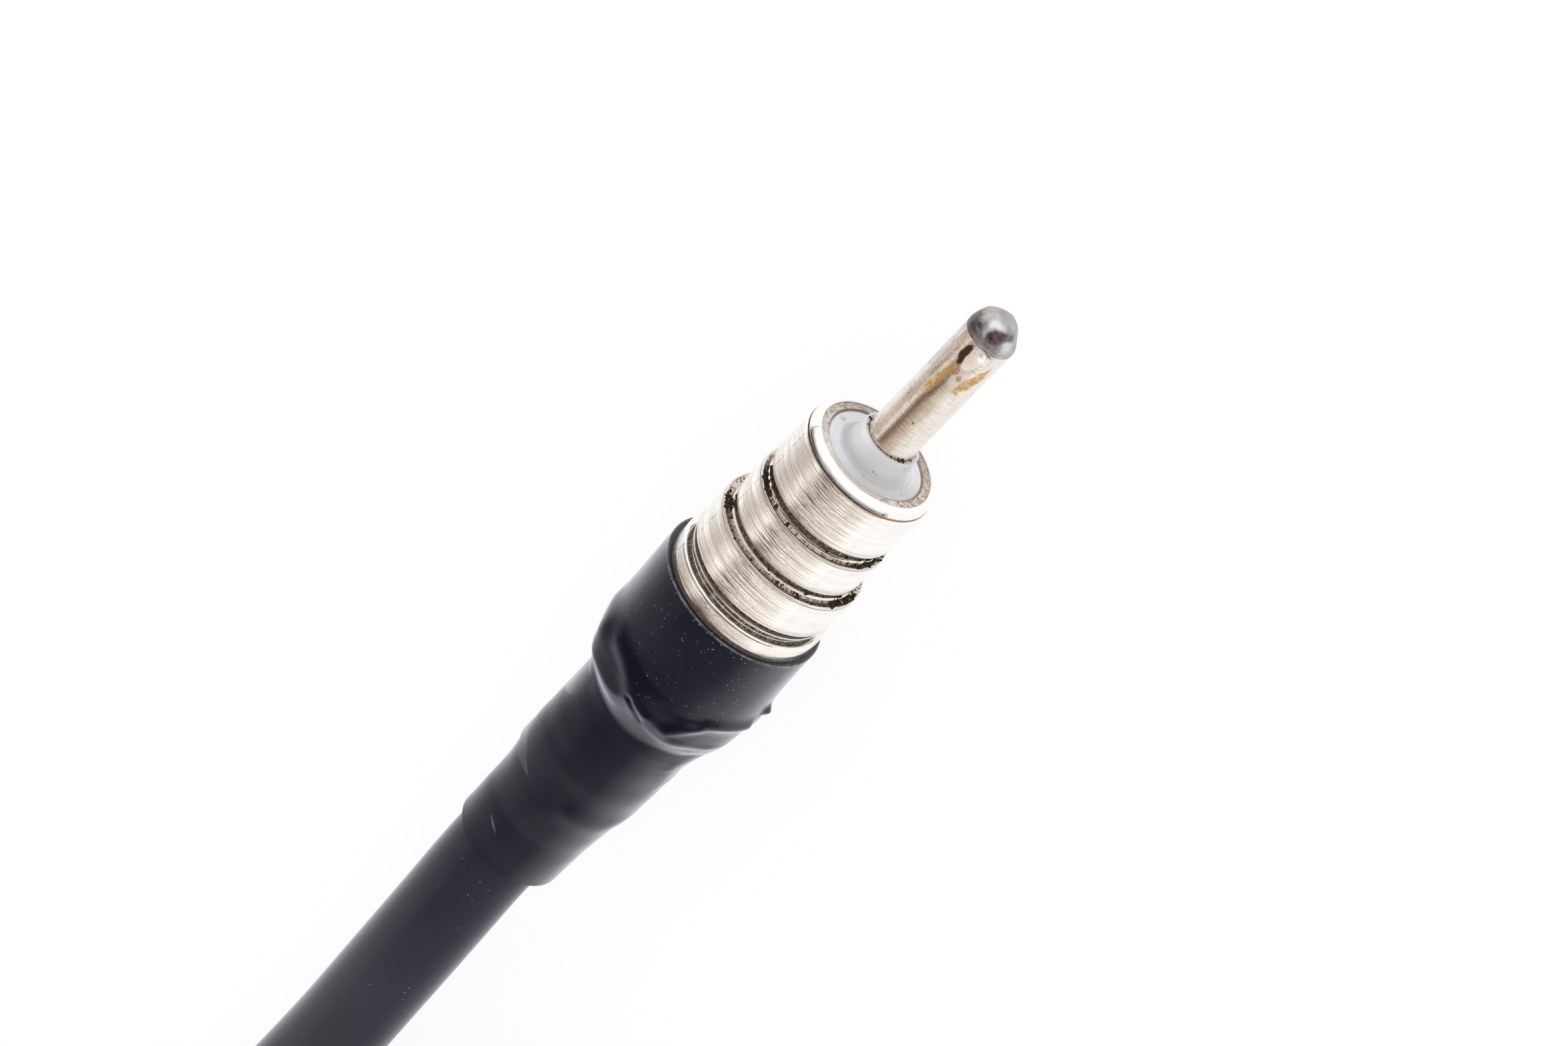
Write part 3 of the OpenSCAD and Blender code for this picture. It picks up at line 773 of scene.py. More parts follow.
# %% Nickel finish
def nickel_finish(name, place, dull=0.0, dirt_and_shade_bands=(), walls=(), rim=None, scratch=None):
    """Turned nickel plate. dull: share of a grey tarnished film everywhere, where the painted shade
    that greys the underside, turned away from the camera, isn't stronger; dirt_and_shade_bands:
    (from, to, share) of black-brown bands, part grime and part painted shade in recesses; walls:
    (from, to, radius) of bands that are yellowed up to a radius, one of them a painted yellow
    reflection; rim: (place, radius) of an etched front face, with painted shade at its inner edge;
    scratch: the turn of a broken line along the axis."""
    # Dirt has hardly any gloss of its own, and plate isn't touched by this level
    look = Finish(name, place, Specular_IOR_Level=0.1)
    spot = look.spot()
    x, y, z = look.parts(spot)
    radius, turn = look.size(y, z), look.turn(y, z)
    fine = look.streaks(spot, (8, 0.12, 0.12), 4, 0.8)
    broad = look.streaks(spot, (3.0, 0.14, 0.14), 2, 0.6)
    short = look.streaks(spot, (7.5, 1.3, 1.3), 2, 0.6)
    blotch = look.noise(spot, 0.55, 4, 0.62)
    grit = look.noise(spot, 5.5, 3, 0.7)
    lines_and_reflection_band = look.rise(fine * 0.7 + broad * 0.3, 0.42, 0.58)
    # Lathe lines, drawn stronger across the turns that face the camera: partly the lathe's marks,
    # partly a painted reflection that darkens the plate where it mirrors the room's dark strip
    lines_and_reflection_band = lines_and_reflection_band * (0.35 + 0.65 * look.band(turn, -80, 22, 14))
    marks = look.rise(short, 0.58, 0.70)
    look.colour = look.mix(lines_and_reflection_band * 0.75, (1.0, 0.98, 0.955), (0.80, 0.71, 0.64))
    look.paint(marks * 0.12, (0.42, 0.33, 0.27))
    look.paint(look.rise(blotch, 0.52, 0.75) * 0.2, (0.86, 0.77, 0.66))
    # Grey: tarnish all over as far as dull asks, and painted shade that greys the underside, turned
    # away from the camera
    behind = look.rise(abs(turn), 92, 140)
    tarnish_and_shade = look.largest(behind * 0.6, dull) * (0.85 + 0.3 * look.rise(blotch, 0.3, 0.75))
    look.paint(tarnish_and_shade, (0.36, 0.325, 0.285))
    pits = look.specks(spot, 1.3, 0.05, 0.09) * look.rise(blotch, 0.48, 0.6)
    dirt_and_shade = pits * 0.6
    # Black-brown bands: dirt, and painted shade deep in the grooves and cut lines, behind the rim
    # and in the gap under the sleeve's lip
    for low, high, share in dirt_and_shade_bands:
        inside = look.band(x, low, high, 0.02)
        dirt_and_shade = look.largest(dirt_and_shade, inside * share * (0.72 + 0.28 * look.rise(grit, 0.38, 0.56)))
        stain = look.rise(x, high - 0.1, high) * look.fall(x, high, high + 0.5) * share
        look.paint(stain * look.rise(fine, 0.3, 0.6) * 0.7, (0.42, 0.31, 0.24))
    yellowing_and_gold_reflection = pits * 0
    # Yellowed bands: a brass tone on the groove walls, and a painted gold reflection where a band
    # covers the collar beside the sleeve's lip
    for low, high, edge in walls:
        wall = look.band(x, low, high, 0.015) * look.fall(radius, edge - 0.11, edge - 0.04)
        yellowing_and_gold_reflection = look.largest(yellowing_and_gold_reflection, wall)
        dirt_and_shade = look.largest(dirt_and_shade, wall * look.rise(grit, 0.52, 0.60) * 0.9)
    rough = 0.07 + 0.24 * lines_and_reflection_band + 0.08 * marks
    dirt_and_shade_colour = look.mix(look.rise(grit, 0.4, 0.65), (0.022, 0.013, 0.009), (0.10, 0.060, 0.034))
    if rim:
        face, edge = rim
        flat = look.rise(x, face - 0.12, face - 0.07) * look.fall(radius, edge, edge + 0.03)
        etched = look.rise(grit, 0.40, 0.60)
        upper = 1 - look.band(turn, -75, 30, 35) * 0.75
        worn = flat * (0.45 + 0.55 * etched) * upper
        look.paint(worn, (0.45, 0.38, 0.31))
        ragged = grit * 0.08
        # Painted shade at the inner edge of the front face, where the insulator sits down in the
        # bore, mixed with specks of dirt
        bore = look.fall(radius + ragged, edge - 0.40, edge - 0.36)
        seam = look.rise(radius, edge - 0.03, edge)
        specks = look.largest(look.rise(grit, 0.58, 0.63), bore, seam * 0.8)
        dirt_and_shade = look.largest(dirt_and_shade, flat * specks * 0.8 * upper)
        rough = rough + flat * 0.25
        polish = look.rise(x, face - 0.85, face - 0.8) * look.rise(radius, edge + 0.04, edge + 0.1)
        look.paint(polish * 0.9, (1.0, 0.985, 0.96))
        rough = rough * (1 - polish * 0.75)
        rust = look.rise(turn, 15, 45) * look.rise(x, face - 0.9, face - 0.8)
        dirt_and_shade_colour = look.mix(rust * 0.85, dirt_and_shade_colour, (0.34, 0.17, 0.08))
    if scratch is not None:
        across = look.fall(abs(turn - scratch), 0.35, 1.0)
        dashes = look.noise(look.join(x * 2.6, 0, 0), 1.0, 2, 0.7)
        dirt_and_shade = look.largest(dirt_and_shade, across * look.rise(dashes, 0.44, 0.54) * 0.5)
    look.paint(yellowing_and_gold_reflection * 0.8, (0.72, 0.62, 0.50))
    look.paint(dirt_and_shade, dirt_and_shade_colour)
    look.feed("Metallic", 1 - dirt_and_shade * 0.85)
    relief = lines_and_reflection_band * 0.45 + broad * 0.8 + grit * yellowing_and_gold_reflection * 1.5 - dirt_and_shade * 0.6
    return look.done(rough + dirt_and_shade * 0.3 + yellowing_and_gold_reflection * 0.1, relief, 0.008)


plug_nickel = nickel_finish(
    "plug_nickel",
    PLUG,
    dirt_and_shade_bands=[
        # The groove floors and fine cut lines hold dirt and painted shade. The band at 11.36 to
        # 11.50 is painted shade along the rim's back edge, with dirt. The band at -0.42 is painted
        # shade in the gap under the sleeve's lip.
        (7.50, 8.12, 1.1),
        (7.10, 7.16, 0.7),
        (4.51, 4.92, 1.1),
        (4.10, 4.16, 0.7),
        (1.31, 1.69, 1.0),
        (0.82, 1.15, 1.0),
        (11.36, 11.50, 1.25),
        (-0.42, -0.30, 0.9),
    ],
    # The last band is a painted gold reflection on the collar beside the sleeve's lip
    walls=[(7.28, 7.36, 4.225), (4.28, 4.36, 4.65), (-0.26, -0.18, 6)],
    rim=(12.0, 3.56),
    scratch=-60,
)
barrel = turned("barrel", BARREL, plug_nickel, sides=224)
collar = turned("collar", COLLAR, plug_nickel, sides=192, shift=PLUG_COLLAR_X)

# %% [markdown]
# ## Crumbs of dirt
# Dirt in a groove isn't paint. It is crumbs that catch light and throw shadows, packed where
# fingers never reach. Geometry Nodes strew rough lumps of twenty faces over narrow strips that
# follow the grooves' walls and floors. A number on the strips' points says how thick they lie.


# %% Crumbs
def crumb_tree(finish):
    """Strews lumps over faces, as thick as their points' "thick" says."""
    number, count = "NodeSocketFloat", "NodeSocketInt"
    labels = {"Per Area": number, "Smallest": number, "Largest": number, "Seed": count}
    tree = Grower("crumbs", labels)
    thick = tree.node("GeometryNodeInputNamedAttribute", {"data_type": "FLOAT"}, {"Name": "thick"})
    values = {"Mesh": tree.given("Geometry"), "Seed": tree.given("Seed")}
    values["Density"] = thick * tree.given("Per Area")
    spread = tree.node("GeometryNodeDistributePointsOnFaces", None, values)
    lump = tree.node("GeometryNodeMeshIcoSphere", None, {"Radius": 1.0, "Subdivisions": 1})
    around = {0: (0, 0, 0), 1: (6.28, 6.28, 6.28), "Seed": 1}
    turned_by = tree.node("FunctionNodeRandomValue", {"data_type": "FLOAT_VECTOR"}, around)
    uneven = {0: (0.5, 0.7, 0.9), 1: (1.1, 1.2, 1.4), "Seed": 2}
    shape = tree.node("FunctionNodeRandomValue", {"data_type": "FLOAT_VECTOR"}, uneven)
    chance = tree.node("FunctionNodeRandomValue", {"data_type": "FLOAT"}, {"Seed": 3}, 1)
    spare = tree.given("Largest") - tree.given("Smallest")
    size = tree.given("Smallest") + spare * chance**3
    grown = tree.node("ShaderNodeVectorMath", {"operation": "SCALE"}, {0: shape, "Scale": size})
    values = {"Points": spread, "Instance": lump, "Rotation": turned_by, "Scale": grown}
    tree.end(tree.node("GeometryNodeInstanceOnPoints", None, values), finish)
    return tree


def crumb_strips(strips):
    """Strips round the plug. Each: its outline, thickness everywhere, and heaps as (turn, half
    width in degrees, thickness)."""
    sides, points, faces, thick = 240, [], [], []
    turns = all_round(sides)
    for outline, plain, heaps in strips:
        start = len(points)
        for x, r in outline:
            for t in turns:
                points.append(on_plug(x, t, r))
                lie = [lump * math.exp(-(((t - at) / half) ** 2)) for at, half, lump in heaps]
                thick.append(plain + sum(lie))
        faces += ring_faces(len(outline), sides, False, start)
    mesh = raw_mesh("crumbs", PLUG.put(points), [], faces)
    mesh.attributes.new("thick", "FLOAT", "POINT").data.foreach_set("value", thick)
    return show("crumbs", mesh)


def crumb_finish():
    look = Finish("black_dirt", PLUG, Specular_IOR_Level=0.15)
    spot = look.spot()
    mottle = look.noise(spot, 3.0, 2, 0.6)
    look.colour = look.mix(mottle, (0.012, 0.009, 0.007), (0.07, 0.042, 0.022))
    return look.done(0.55 + mottle * 0.2, look.noise(spot, 14, 2, 0.6), 0.02)


# Wall and floor of the front groove, the same of the rear one, and the foot of the pin
STRIPS = [
    ([(7.31, 4.15), (7.31, 3.89), (7.40, 3.89)], 0.10, [(68, 15, 2.0), (-55, 12, 3.5)]),
    ([(7.50, 3.78), (8.05, 3.78)], 0.08, [(72, 14, 2.2), (-55, 12, 3.5)]),
    ([(4.31, 4.58), (4.31, 4.19), (4.41, 4.19)], 0.15, [(74, 14, 2.0), (-66, 9, 3.0)]),
    ([(4.52, 4.09), (4.85, 4.09)], 0.08, [(74, 14, 2.0), (-66, 9, 3.0), (35, 25, 0.3)]),
    ([(13.37, 1.54), (13.37, 1.62)], 0.25, [(25, 30, 1.2)]),
]
CRUMB_SIZES = {"Smallest": 0.018 * MM, "Largest": 0.14 * MM}
CRUMBS_PER_SQUARE_METRE = 55e6
crumbs = crumb_strips(STRIPS)
crumb_tree(crumb_finish()).grow(crumbs, Per_Area=CRUMBS_PER_SQUARE_METRE, Seed=4, **CRUMB_SIZES)

# %% [markdown]
# ## Insulator
# A milky disc that rises in a concave cone to the pin. It was turned too, so faint rings run
# round it. Painted shade darkens its lower right side, the hollow round the hub on the lower
# left, a ring at the cone's foot and its outer edge in the bore.

# %% Insulator
INSULATOR_FRONT = 11.88
# Place where the pin's thick root ends, just under the lip of the insulator's hub
PIN_STEP = 13.15


def insulator_outline():
    hub, foot, rise_to = 1.82, 2.3, 13.35
    corners = [(6.8, 3.03, 0.05), (INSULATOR_FRONT, 3.03, 0.04), (INSULATOR_FRONT, foot, 0)]
    for a in [math.pi / 2 * i / 12 for i in range(1, 13)]:
        climb = (rise_to - INSULATOR_FRONT) * (1 - math.cos(a))
        corners.append((INSULATOR_FRONT + climb, foot - (foot - hub) * math.sin(a), 0))
    top = [(rise_to + 0.05, 1.75, 0.02), (rise_to + 0.02, 1.52, 0.02), (PIN_STEP + 0.03, 1.52, 0)]
    return corners + top + [(PIN_STEP, 1.72, 0), (8.02, 1.72, 0), (8.02, 1.97, 0), (6.8, 1.97, 0)]


def insulator_finish(name, place):
    milky = {"Subsurface_Radius": (1.0, 1.0, 1.1), "Subsurface_Scale": 0.8 * MM}
    look = Finish(name, place, IOR=1.49, Subsurface_Weight=0.15, **milky)
    spot = look.spot()
    x, y, z = look.parts(spot)
    radius, turn = look.size(y, z), look.turn(y, z)
    wobble = look.noise(spot, 0.7, 2, 0.5)
    rings = look.noise(look.join(radius * 9 + wobble * 1.5, wobble, 0), 1.0, 2, 0.6)
    cloud = look.noise(spot, 0.9, 4, 0.6)
    grit = look.noise(spot, 5.0, 3, 0.7)
    specks = look.specks(spot, 1.6, 0.06, 0.11) * look.rise(cloud, 0.42, 0.55)
    ringed = look.rise(rings, 0.4, 0.65) * 0.6
    look.colour = look.mix(ringed, (0.72, 0.735, 0.76), (0.86, 0.865, 0.875))
    look.paint(look.rise(cloud, 0.45, 0.75) * 0.35, (0.62, 0.63, 0.65))
    # Painted shade: the disc is darker towards its lower right side
    shade = look.rise(turn, -50, 10) * look.fall(turn, 60, 130)
    look.paint(shade * 0.62, (0.455, 0.435, 0.42))
    # Painted shade: the hollow round the hub is darker on its lower left
    lower_left = look.patch(x, turn, (12.3, -30), (9, 130), 0.0)
    hollow_shade = look.band(radius, 1.95, 2.28, 0.07) * lower_left
    look.paint(hollow_shade * 0.5, (0.40, 0.40, 0.43))
    # Painted shade: a ring at the cone's foot, broken by the cloud
    ring = look.band(radius, 2.30, 2.38, 0.03) * look.rise(cloud, 0.35, 0.6)
    look.paint(ring * 0.35, (0.48, 0.49, 0.52))
    foot = look.fall(radius + grit * 0.1, 1.58, 1.64) * look.rise(x, 13.2, 13.3)
    foot = foot * (0.35 + 0.65 * look.band(turn, -15, 70, 15))
    # Ragged brown at the disc's outer edge: painted shade where the disc sits down in the bore. The
    # brown at the pin's foot above is dirt.
    edge = look.rise(radius + grit * 0.06, 3.05, 3.08)
    look.paint(look.largest(foot * 0.85, edge * 0.4), (0.24, 0.16, 0.08))
    brown = look.near(spot, on_plug(INSULATOR_FRONT, -100, 2.71), 0.28) * look.rise(grit, 0.4, 0.6)
    look.paint(brown * 0.7, (0.42, 0.25, 0.10))
    look.paint(specks * 0.75, (0.12, 0.10, 0.09))
    return look.done(0.34 + cloud * 0.15, rings * 0.5 + cloud * 0.3 + grit * 0.2, 0.04)


plug_plastic = insulator_finish("plug_plastic", PLUG)
insulator = turned("insulator", insulator_outline(), plug_plastic, sides=160)

# %% [markdown]
# ## Centre pin and its solder
# The pin is a tube, filled with solder from a hole in its side. The solder that ran over it left
# a lumpy cap at the tip, a bead in the hole and an amber trace of flux. A fine grid bent round
# the axis carries the hole as real depth, and the finish paints the stains. It paints light too:
# shade in the gap round the hole and, with some tarnish, on the facing side, a highlight on the
# bead, and a grey-brown reflection along the upper side.

# %% Pin shape
PIN_R = 1.5
# The solder hole: its middle and half its size, each as a place and a turn
HOLE, HOLE_HALF = (21.45, 5), (0.95, 23)
# The bead that stands out of the hole, as a place and a turn
BEAD = (21.85, 21)


def capped_grid(rings, sides):
    """Faces of a grid of rings whose first and last points are single poles."""
    faces = [(0, 1 + (k + 1) % sides, 1 + k) for k in range(sides)]
    faces += ring_faces(rings, sides, False, 1)
    last, end = 1 + (rings - 1) * sides, 1 + rings * sides
    faces += [(last + k, last + (k + 1) % sides, end) for k in range(sides)]
    return faces


def pin_radius(x, turn):
    """Radius of the pin, with the gap round the solder in its hole, and small dents."""
    here = Vector(on_plug(x, turn, PIN_R))
    r = PIN_R + 0.008 * noise.noise(here * 1.1)
    far = math.hypot((x - HOLE[0]) / HOLE_HALF[0], (turn - HOLE[1]) / HOLE_HALF[1])
    if far < 1.6:
        far += 0.10 * noise.noise(here * 3.3)
        r -= 0.012 * math.exp(-(((far - 0.95) / 0.16) ** 2))
        r += 0.15 * math.exp(-(((x - BEAD[0]) / 0.19) ** 2) - ((turn - BEAD[1]) / 7.5) ** 2)
    return r


def make_pin(finish):
    sides = 168
    turns = all_round(sides)
    xs = np.concatenate([np.linspace(6.9, 19.9, 150), np.linspace(19.93, 22.3, 120)])
    points = [(xs[0], 0, 0)]
    for x in xs:
        for t in turns:
            r = pin_radius(x, t) if x > PIN_STEP else (1.7 if x > 8.0 else 1.95)
            points.append(on_plug(x, t, r))
    points.append((xs[-1], 0, 0))
    return build("pin", points, capped_grid(len(xs), sides), finish, PLUG)


def pin_finish():
    look = Finish("pin_nickel", PLUG, Specular_IOR_Level=0.15)
    spot = look.spot()
    x, y, z = look.parts(spot)
    turn = look.turn(y, z)
    fine = look.streaks(spot, (7, 1.2, 1.2), 3, 0.65)
    drag = look.streaks(spot, (0.5, 3.2, 3.2), 3, 0.6)
    blotch = look.noise(spot, 0.8, 4, 0.62)
    grit = look.noise(spot, 4.0, 3, 0.7)
    ragged = (look.noise(spot, 2.4, 3, 0.65) - 0.5) * 1.8
    look.colour = look.mix(look.rise(fine, 0.4, 0.7) * 0.5, (0.88, 0.83, 0.77), (0.72, 0.65, 0.58))
    look.paint(look.rise(drag, 0.5, 0.75) * 0.4, (0.50, 0.42, 0.36))
    specked = look.streaks(spot, (2.2, 5.5, 5.5), 2, 0.7)
    dots = look.rise(specked, 0.52, 0.62) * look.band(turn, -72, -28, 8)
    look.paint(dots * 0.5 * look.rise(blotch, 0.35, 0.6), (0.20, 0.15, 0.12))
    # Painted reflection: a streaked grey-brown band along the upper side towards the tip, where the
    # pin mirrors the room's greyer side
    side = look.band(turn, -95, -34, 14) * look.rise(x, 16.5, 20.5) * look.rise(drag, 0.3, 0.6)
    look.paint(side * 0.45, (0.40, 0.34, 0.29))
    # A darker purple-brown patch on the facing side: partly tarnish, partly painted shade that
    # deepens the dark strip the pin mirrors there
    tarnish_and_shade = look.patch(x, turn, (18.9, -7), (1.6, 8), ragged)
    look.paint(tarnish_and_shade * 0.5, (0.30, 0.22, 0.21))
    haze = look.patch(x, turn, (20.1, 14), (1.3, 24), ragged)
    look.paint(haze * 0.6, (0.66, 0.57, 0.51))
    streak = look.patch(x, turn - (x - 19) * 4, (19.2, -19), (2.1, 12), ragged * 0.6)
    lower = look.patch(x, turn - (x - 20.1) * 12, (20.1, 39), (1.3, 15), ragged * 0.8)
    amber = look.largest(streak, lower) * (0.6 + 0.4 * look.rise(grit, 0.42, 0.56))
    look.paint(amber * 0.95, (0.45, 0.235, 0.035))
    brown = look.patch(x, turn, (20.15, -2), (0.35, 7), ragged * 1.2)
    brown = look.largest(brown, look.patch(x, turn, (19.9, 12), (0.25, 8), ragged * 1.2))
    look.paint(brown * 0.7, (0.36, 0.19, 0.10))
    foot = look.fall(x, 13.4, 14.5) * look.rise(grit, 0.42, 0.62) * look.band(turn, -90, 0, 20)
    look.paint(foot * 0.6, (0.42, 0.30, 0.14))
    oval = look.far(x, turn, HOLE, HOLE_HALF) + ragged * 0.06
    bead = look.fall(oval, 0.85, 1.0)
    look.paint(bead * 0.7, (0.74, 0.67, 0.61))
    # Painted shade: a dark crescent for the gap at the hole's left edge, and a fine dark arc at its
    # upper right where the solder meets the pin
    gap = look.patch(x, turn + (x - 21.4) ** 2 * -9, (21.35, -16), (1.0, 11), ragged * 0.5)
    arc = look.band(oval, 0.97, 1.04, 0.04) * look.rise(turn, 8, 16)
    arc = arc * look.rise(x, 21.6, 22.0) * 0.7
    # Painted highlight: a near-white spot on the bead
    look.paint(look.near(spot, on_plug(*BEAD, PIN_R + 0.12), 0.28), (0.98, 0.97, 0.95))
    gap = look.largest(gap, arc)
    look.paint(gap, (0.045, 0.016, 0.005))
    pits = look.specks(spot, 1.2, 0.05, 0.09) * look.rise(blotch, 0.5, 0.6)
    speck = look.near(spot, on_plug(15.97, 9, PIN_R), 0.12)
    look.paint(look.largest(pits * 0.6, speck * 0.8), (0.08, 0.06, 0.05))
    look.feed("Metallic", 1 - look.largest(amber * 0.7, haze * 0.35, bead * 0.5, gap * 0.95))
    rough = 0.13 + fine * 0.12 + haze * 0.15 + bead * 0.1 + gap * 0.4
    return look.done(rough, fine * 0.5 + drag * 0.3 + blotch * 0.6, 0.02)


pin = make_pin(pin_finish())


# %% Solder cap
# The place of the dome's middle, and of the foot that closes it inside the pin
CAP_MIDDLE, CAP_FOOT = 22.4, 21.9
# A valley arches over the cap's lower lump: points as degrees from the tip, and turns
VALLEY = [(74, 0), (62, -2), (52, 4), (46, 16), (49, 30), (46, 46), (45, 62)]


def cap_way(polar, turn):
    """A direction from the cap's middle, at an angle from the tip and a turn."""
    polar = math.radians(polar)
    return np.array(on_plug(math.cos(polar), turn, math.sin(polar)))


valley_way = np.array(
    [
        cap_way(*(np.array(a) * (1 - t) + np.array(b) * t))
        for a, b in zip(VALLEY, VALLEY[1:])
        for t in (0, 0.25, 0.5, 0.75)
    ]
)


def cap_point(polar, turn):
    """A point of the dome: a ball with lumps, drawn in on one side, that goes on as a tube."""
    way = cap_way(polar, turn)
    far = np.linalg.norm(valley_way - way, axis=1).min()
    lumps = 0.035 * noise.noise(Vector(way) * 1.9 + Vector((3, 1, 4)))
    lumps += 0.018 * noise.noise(Vector(way) * 4.5)
    lumps -= 0.07 * math.exp(-((far / 0.10) ** 2))
    lower = np.linalg.norm(cap_way(70, 24) - way)
    lumps += 0.035 * math.exp(-((lower / 0.28) ** 2))
    fade = min(max((88 - polar) / 18, 0), 1)
    aside = max(math.sin(math.radians(turn)), 0) * math.sin(math.radians(min(polar, 90)))
    r = PIN_R * (1.003 + lumps * fade - 0.125 * aside * fade)
    x, y, z = r * way
    if polar > 90:
        y, z = [part / math.sin(math.radians(polar)) for part in (y, z)]
        y, z = [part * (1 - 0.02 * max((polar - 96) / 8, 0)) for part in (y, z)]
    return (CAP_MIDDLE + x, y, z)


def make_cap(finish):
    sides, rings = 144, 84
    turns = all_round(sides)
    points = [cap_point(0, 0)]
    # The cap's edge runs up and down by a few degrees
    wave = [Vector((math.cos(a) * 2, math.sin(a) * 2, 5)) for a in map(math.radians, turns)]
    reach = [100 + 7 * noise.noise(place) for place in wave]
    for i in range(1, rings + 1):
        points += [cap_point(far * i / rings, t) for far, t in zip(reach, turns)]
    points.append((CAP_FOOT, 0, 0))
    return build("solder_cap", points, capped_grid(rings, sides), finish, PLUG)


def solder_finish():
    look = Finish("solder", PLUG, Metallic=1.0)
    spot = look.spot()
    x, y, z = look.parts(spot)
    turn = look.turn(y, z)
    cloud = look.noise(spot, 1.3, 4, 0.6)
    grain = look.noise(spot, 6.0, 3, 0.6)
    look.colour = look.ramp(
        cloud, (0.3, (0.34, 0.31, 0.31)), (0.5, (0.46, 0.44, 0.45)), (0.7, (0.58, 0.57, 0.58))
    )
    left = look.band(turn, -130, -25, 15) * look.fall(x + cloud * 0.5, 23.3, 23.8)
    look.paint(left * 0.8, (0.15, 0.125, 0.12))
    # Degrees from the tip, turn, reach, share and colour: first the light patches on top and under
    # the lump, which are painted highlights, and the warm patches, then the lump's shade and the
    # dark arch over it
    marks = [
        (40, -14, 0.5, 0.7, (0.90, 0.90, 0.92)),
        (36, 12, 0.4, 0.5, (0.88, 0.88, 0.90)),
        (66, 56, 0.55, 0.7, (0.82, 0.81, 0.81)),
        (58, -52, 0.30, 0.6, (0.62, 0.63, 0.66)),
        (62, -112, 0.6, 0.55, (0.44, 0.35, 0.28)),
        (44, -80, 0.5, 0.6, (0.55, 0.40, 0.28)),
        (26, 150, 0.5, 0.5, (0.50, 0.38, 0.30)),
        (70, 22, 0.55, 0.5, (0.36, 0.28, 0.31)),
        (74, 0, 0.34, 0.8, (0.075, 0.045, 0.05)),
        (64, -2, 0.33, 0.8, (0.075, 0.045, 0.05)),
        (57, 6, 0.56, 0.9, (0.07, 0.04, 0.05)),
        (60, 20, 0.42, 0.7, (0.16, 0.10, 0.11)),
        (50, 24, 0.46, 0.85, (0.075, 0.045, 0.05)),
        (47, 40, 0.38, 0.85, (0.09, 0.055, 0.06)),
        (47, 58, 0.36, 0.9, (0.06, 0.035, 0.045)),
    ]
    for polar, at, reach, share, tint in marks:
        here = tuple(PIN_R * cap_way(polar, at) + [CAP_MIDDLE, 0, 0])
        look.paint(look.near(spot, here, reach) * share, tint)
    seam = look.fall(x + cloud * 0.5, 22.45, 22.75) * (1 - look.band(turn, 30, 110, 15))
    look.paint(seam * 0.75, (0.20, 0.145, 0.12))
    return look.done(0.27 + grain * 0.25, cloud * 0.8 + grain * 0.4, 0.08)


cap = make_cap(solder_finish())

# %% [markdown]
# ## Shrunk sleeve
# Heat-shrink tube pulls tight over whatever is under it: the collar, the ferrule, then the cable.
# Here it folded over the collar's back edge, with a pinch, two ridges that run off from it, and
# hollows in front of them. The skin is a grid in length and angle. Its radius starts from a table
# of the tube's middle and radius along the axis, and ridges and hollows are added as soft lines
# and spots on it.

# %% Sleeve shape
SLEEVE_FRONT, SLEEVE_BACK = -0.4, -23.9
# Radius by which an angle round the skin counts as a length on it
SKIN_R = 5
# Place along the plug, shift of the middle towards ACROSS, radius at the sides
SIDES_TABLE = [
    (-0.4, 0.0, SLEEVE_R), (-1.5, 0.02, SLEEVE_R), (-3.3, 0.10, 5.15), (-5.1, 0.20, 5.18),
    (-6.1, 0.28, 5.26), (-7.0, 0.25, 5.12), (-7.9, 0.33, 4.97), (-8.8, 0.48, 4.71),
    (-9.7, 0.50, 4.42), (-10.6, 0.54, 4.08), (-11.6, 0.44, 3.95), (-13.4, 0.32, 3.93),
    (-14.4, 0.36, 3.95), (-15.6, 0.34, 3.93), (-17.2, 0.30, 3.80), (-19.2, 0.25, 3.54),
    (-20.6, 0.23, 3.45), (-23.2, 0.22, 3.42), (-23.9, 0.20, 3.41),
]
# Radius of the narrow part on the side that faces up. It counts behind the fold
TOP_TABLE = [
    (-0.4, 4.02), (-9.6, 4.00), (-12.0, 3.95), (-15.0, 3.90),
    (-18.4, 3.66), (-20.5, 3.48), (-23.9, 3.40),
]
# Soft lines on the skin: points of (place, degrees round from FACING), height, width
RIDGES = [
    # The ridge that runs off to the upper side
    ([(-7.6, -3), (-6.6, -14), (-6.05, -25), (-5.85, -38)], 0.17, 0.58),
    ([(-6.0, -48), (-6.2, -58), (-6.4, -80)], 0.10, 0.9),
    # The fold's back edge, and a second ridge that leaves it towards the lower side
    ([(-8.1, 6), (-8.5, 22), (-8.7, 44), (-8.7, 62)], 0.05, 0.35),
    ([(-7.6, 22), (-7.1, 30), (-6.7, 36), (-6.15, 43), (-5.95, 52), (-5.9, 75)], 0.20, 0.42),
    # The pinch
    ([(-7.35, -8), (-7.75, -1), (-8.25, 5)], -0.14, 0.18),
    # Swellings further back
    ([(-11.2, 60), (-13.0, 72), (-13.0, 100)], 0.10, 0.8),
    ([(-17.3, 20), (-17.5, 55), (-16.6, 100)], 0.10, 0.8),
]
# Soft spots: place, degrees, height, reach to the front, reach to the back, width round
SPOTS = [
    (-5.5, -12, -0.10, 2.2, 0.5, 1.9),
    (-6.1, 31, -0.16, 1.9, 0.4, 1.2),
    (-6.9, -56, 0.24, 0.9, 1.5, 1.0),
    (-8.6, 54, -0.42, 2.0, 0.5, 2.3),
    (-7.55, 6, 0.13, 0.26, 0.26, 0.3),
    (-5.0, 88, 0.35, 0.35, 0.35, 0.35),
]


